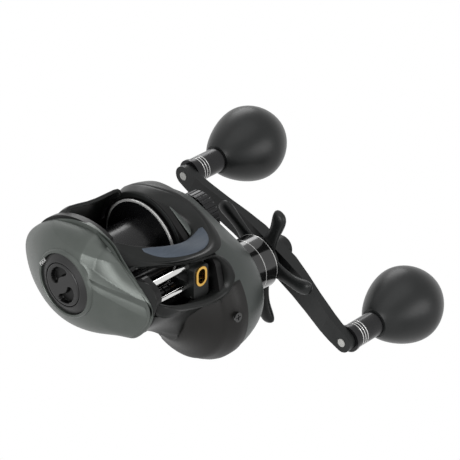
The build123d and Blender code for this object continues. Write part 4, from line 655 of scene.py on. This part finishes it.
dial_cap = piece("brake_dial_cap", dial_disc(), dial_black, "brake_dial_group", covers=("brake_dial",))
# faces sunk into the pockets take the darker finish: painted shade in the recesses
dial_cap.data.materials.append(pocket_painted_shade)
for polygon in dial_cap.data.polygons:
    x, y, z = polygon.center / MM
    sunk_in_painted_shade = x > DIAL_FACE_X + EDGE_RISE
    if sunk_in_painted_shade and hypot(y - SPOOL[0], z - SPOOL[1]) < DIAL_R - DIAL_EDGE - 0.2:
        polygon.material_index = 1

# MAX beside the dial, where the brake is strongest
WORD_PLACE = (-31.3, *polar(SPOOL, 13.5, 26.0))
WORD_TURN = radians(39.0)
word = bpy.data.curves.new("dial_limit_word", "FONT")
word.body = "MAX"
word.size = 2.3 * MM
word.extrude = 0.3 * MM
word.align_x, word.align_y = "CENTER", "CENTER"
word_thing = bpy.data.objects.new("dial_limit_word", word)
scene.collection.objects.link(word_thing)
word_mesh = bpy.data.meshes.new_from_object(word_thing.evaluated_get(bpy.context.evaluated_depsgraph_get()))
bpy.data.objects.remove(word_thing)
along = Vector((0.0, -sin(WORD_TURN), cos(WORD_TURN)))
up = Vector((0.0, cos(WORD_TURN), sin(WORD_TURN)))
place = Matrix((along, up, along.cross(up))).transposed().to_4x4()
place.translation = Vector(WORD_PLACE) * MM
word_shape = bmesh.new()
word_shape.from_mesh(word_mesh)
bmesh.ops.transform(word_shape, matrix=place, verts=word_shape.verts)
piece("dial_limit_word", word_shape, bright_line, "reel_body")

# ---------------------------------------------------------------- gear cover
# X, and the cover's reach round the crank axis and round the spool axis
cover_levels = [(18.9, 26.8, 23.9), (20.6, 28.2, 24.0), (23.0, 28.9, 24.0), (27.5, 28.7, 23.4),
                (32.0, 28.0, 20.0), (37.0, 26.4, 16.6), (41.0, 24.6, 13.6), (43.2, 22.8, 11.6),
                (44.4, 20.4, 9.8), (44.4, 8.0, 4.0)]
gear_shell = skin([taut(x, [(DRIVE, drum), (SPOOL, crown)]) for x, drum, crown in cover_levels])
piece("gear_cover_shell", gear_shell, cover_grey, "reel_body", covers=("gear_cover",),
      round_levels=1, wall=0.9)
boss = turned([(43.2, 3.6), (43.2, 8.2), (49.2, 8.2), (49.4, 8.0), (49.4, 3.8), (49.2, 3.6)], SPOOL,
              close=True)
piece("tension_boss", boss, cover_grey, "reel_body")
collar_boss = turned([(43.4, 9.0), (43.4, 13.2), (44.6, 13.0), (45.4, 12.0), (46.1, 11.9), (46.1, 9.0)],
                     DRIVE, close=True)
piece("collar_boss", collar_boss, cover_grey, "reel_body")

# ---------------------------------------------------------------- drag collar, star and knob sleeves
COLLAR_R = 12.3
COLLAR_LINES = (("collar_line_inner", 56.0), ("collar_line_outer", 62.9))   # name and X of each bright line
STAR_TURNS = [41.5 + 72.0 * i for i in range(5)]
STAR_BOW, STAR_REACH = 5.0, 31.0    # an arm bows sideways by this angle half-way to its reach
# one arm of the star: reach from the axle, half width, half depth, X of its middle
STAR_ARM = [(5.0, 5.2, 1.5, 65.5), (9.0, 4.6, 1.6, 65.5), (13.0, 3.5, 1.7, 65.4), (17.5, 3.0, 1.8, 65.2),
            (21.5, 3.1, 2.1, 64.9), (25.0, 3.6, 2.4, 64.9), (28.0, 3.7, 2.3, 64.9),
            (29.9, 2.8, 1.6, 65.0), (30.5, 1.0, 0.6, 65.0)]
SLEEVE_GROOVES = [74.3 + 1.5 * k for k in range(3)]   # X of each groove

collar = turned([(46.2, 9.0), (46.2, 12.1), (46.4, COLLAR_R), (55.9, COLLAR_R), (55.9, 12.1),
                 (56.5, 12.1), (56.5, COLLAR_R), (62.9, COLLAR_R), (62.9, 12.1), (63.4, 12.0),
                 (63.4, 6.2), (56.0, 6.2), (56.0, 9.0)], DRIVE, 128, close=True)
piece("drag_collar_sleeve", collar, gloss_black, "reel_body", covers=("drag_collar",))
for name, x in COLLAR_LINES:
    line = turned([(x, 12.05), (x + 0.05, 12.36), (x + 0.4, 12.36), (x + 0.45, 12.05)], DRIVE, 128,
                  close=True)
    piece(name, line, bright_line, "reel_body")


def star_arm(turn, corners=16):
    """Rings of one arm of the star: an oval bar that widens to a finger pad, bowed a little sideways."""
    rings = []
    for reach, half_width, half_depth, x in STAR_ARM:
        angle = turn + STAR_BOW * sin(pi * reach / STAR_REACH)
        y, z = polar(DRIVE, reach, angle)
        across = radians(angle)
        ring = []
        for k in range(corners):
            u, w = cos(2 * pi * k / corners), sin(2 * pi * k / corners)
            side = half_width * abs(u) ** 0.8 * (1 if u > 0 else -1)
            ring.append((x + half_depth * w, y - side * sin(across), z + side * cos(across)))
        rings.append(ring)
    return rings


star = turned([(58.0, 2.7), (58.0, 5.6), (63.75, 5.6), (63.75, 9.6), (64.3, 10.2), (66.5, 10.2),
               (67.2, 9.4), (67.2, 2.7)], DRIVE, 96, close=True)
piece("star_hub", star, arm_black, "star_group", covers=("star_drag",))
for number, turn in enumerate(STAR_TURNS, 1):
    arm = skin(star_arm(turn))
    bmesh.ops.holes_fill(arm, edges=[e for e in arm.edges if e.is_boundary], sides=0)
    piece(f"star_arm_{number}", arm, arm_black, "star_group", round_levels=1)

for name, centre in (("upper", UPPER_KNOB), ("lower", LOWER_KNOB)):
    for number, x in enumerate(SLEEVE_GROOVES, 1):
        line = turned([(x + 0.1, 5.15), (x + 0.1, 5.5), (x + 0.2, 5.62), (x + 0.5, 5.62), (x + 0.6, 5.5),
                       (x + 0.6, 5.15)], centre, 64, close=True)
        piece(f"sleeve_line_{name}_{number}", line, bright_line, f"{name}_knob_group")
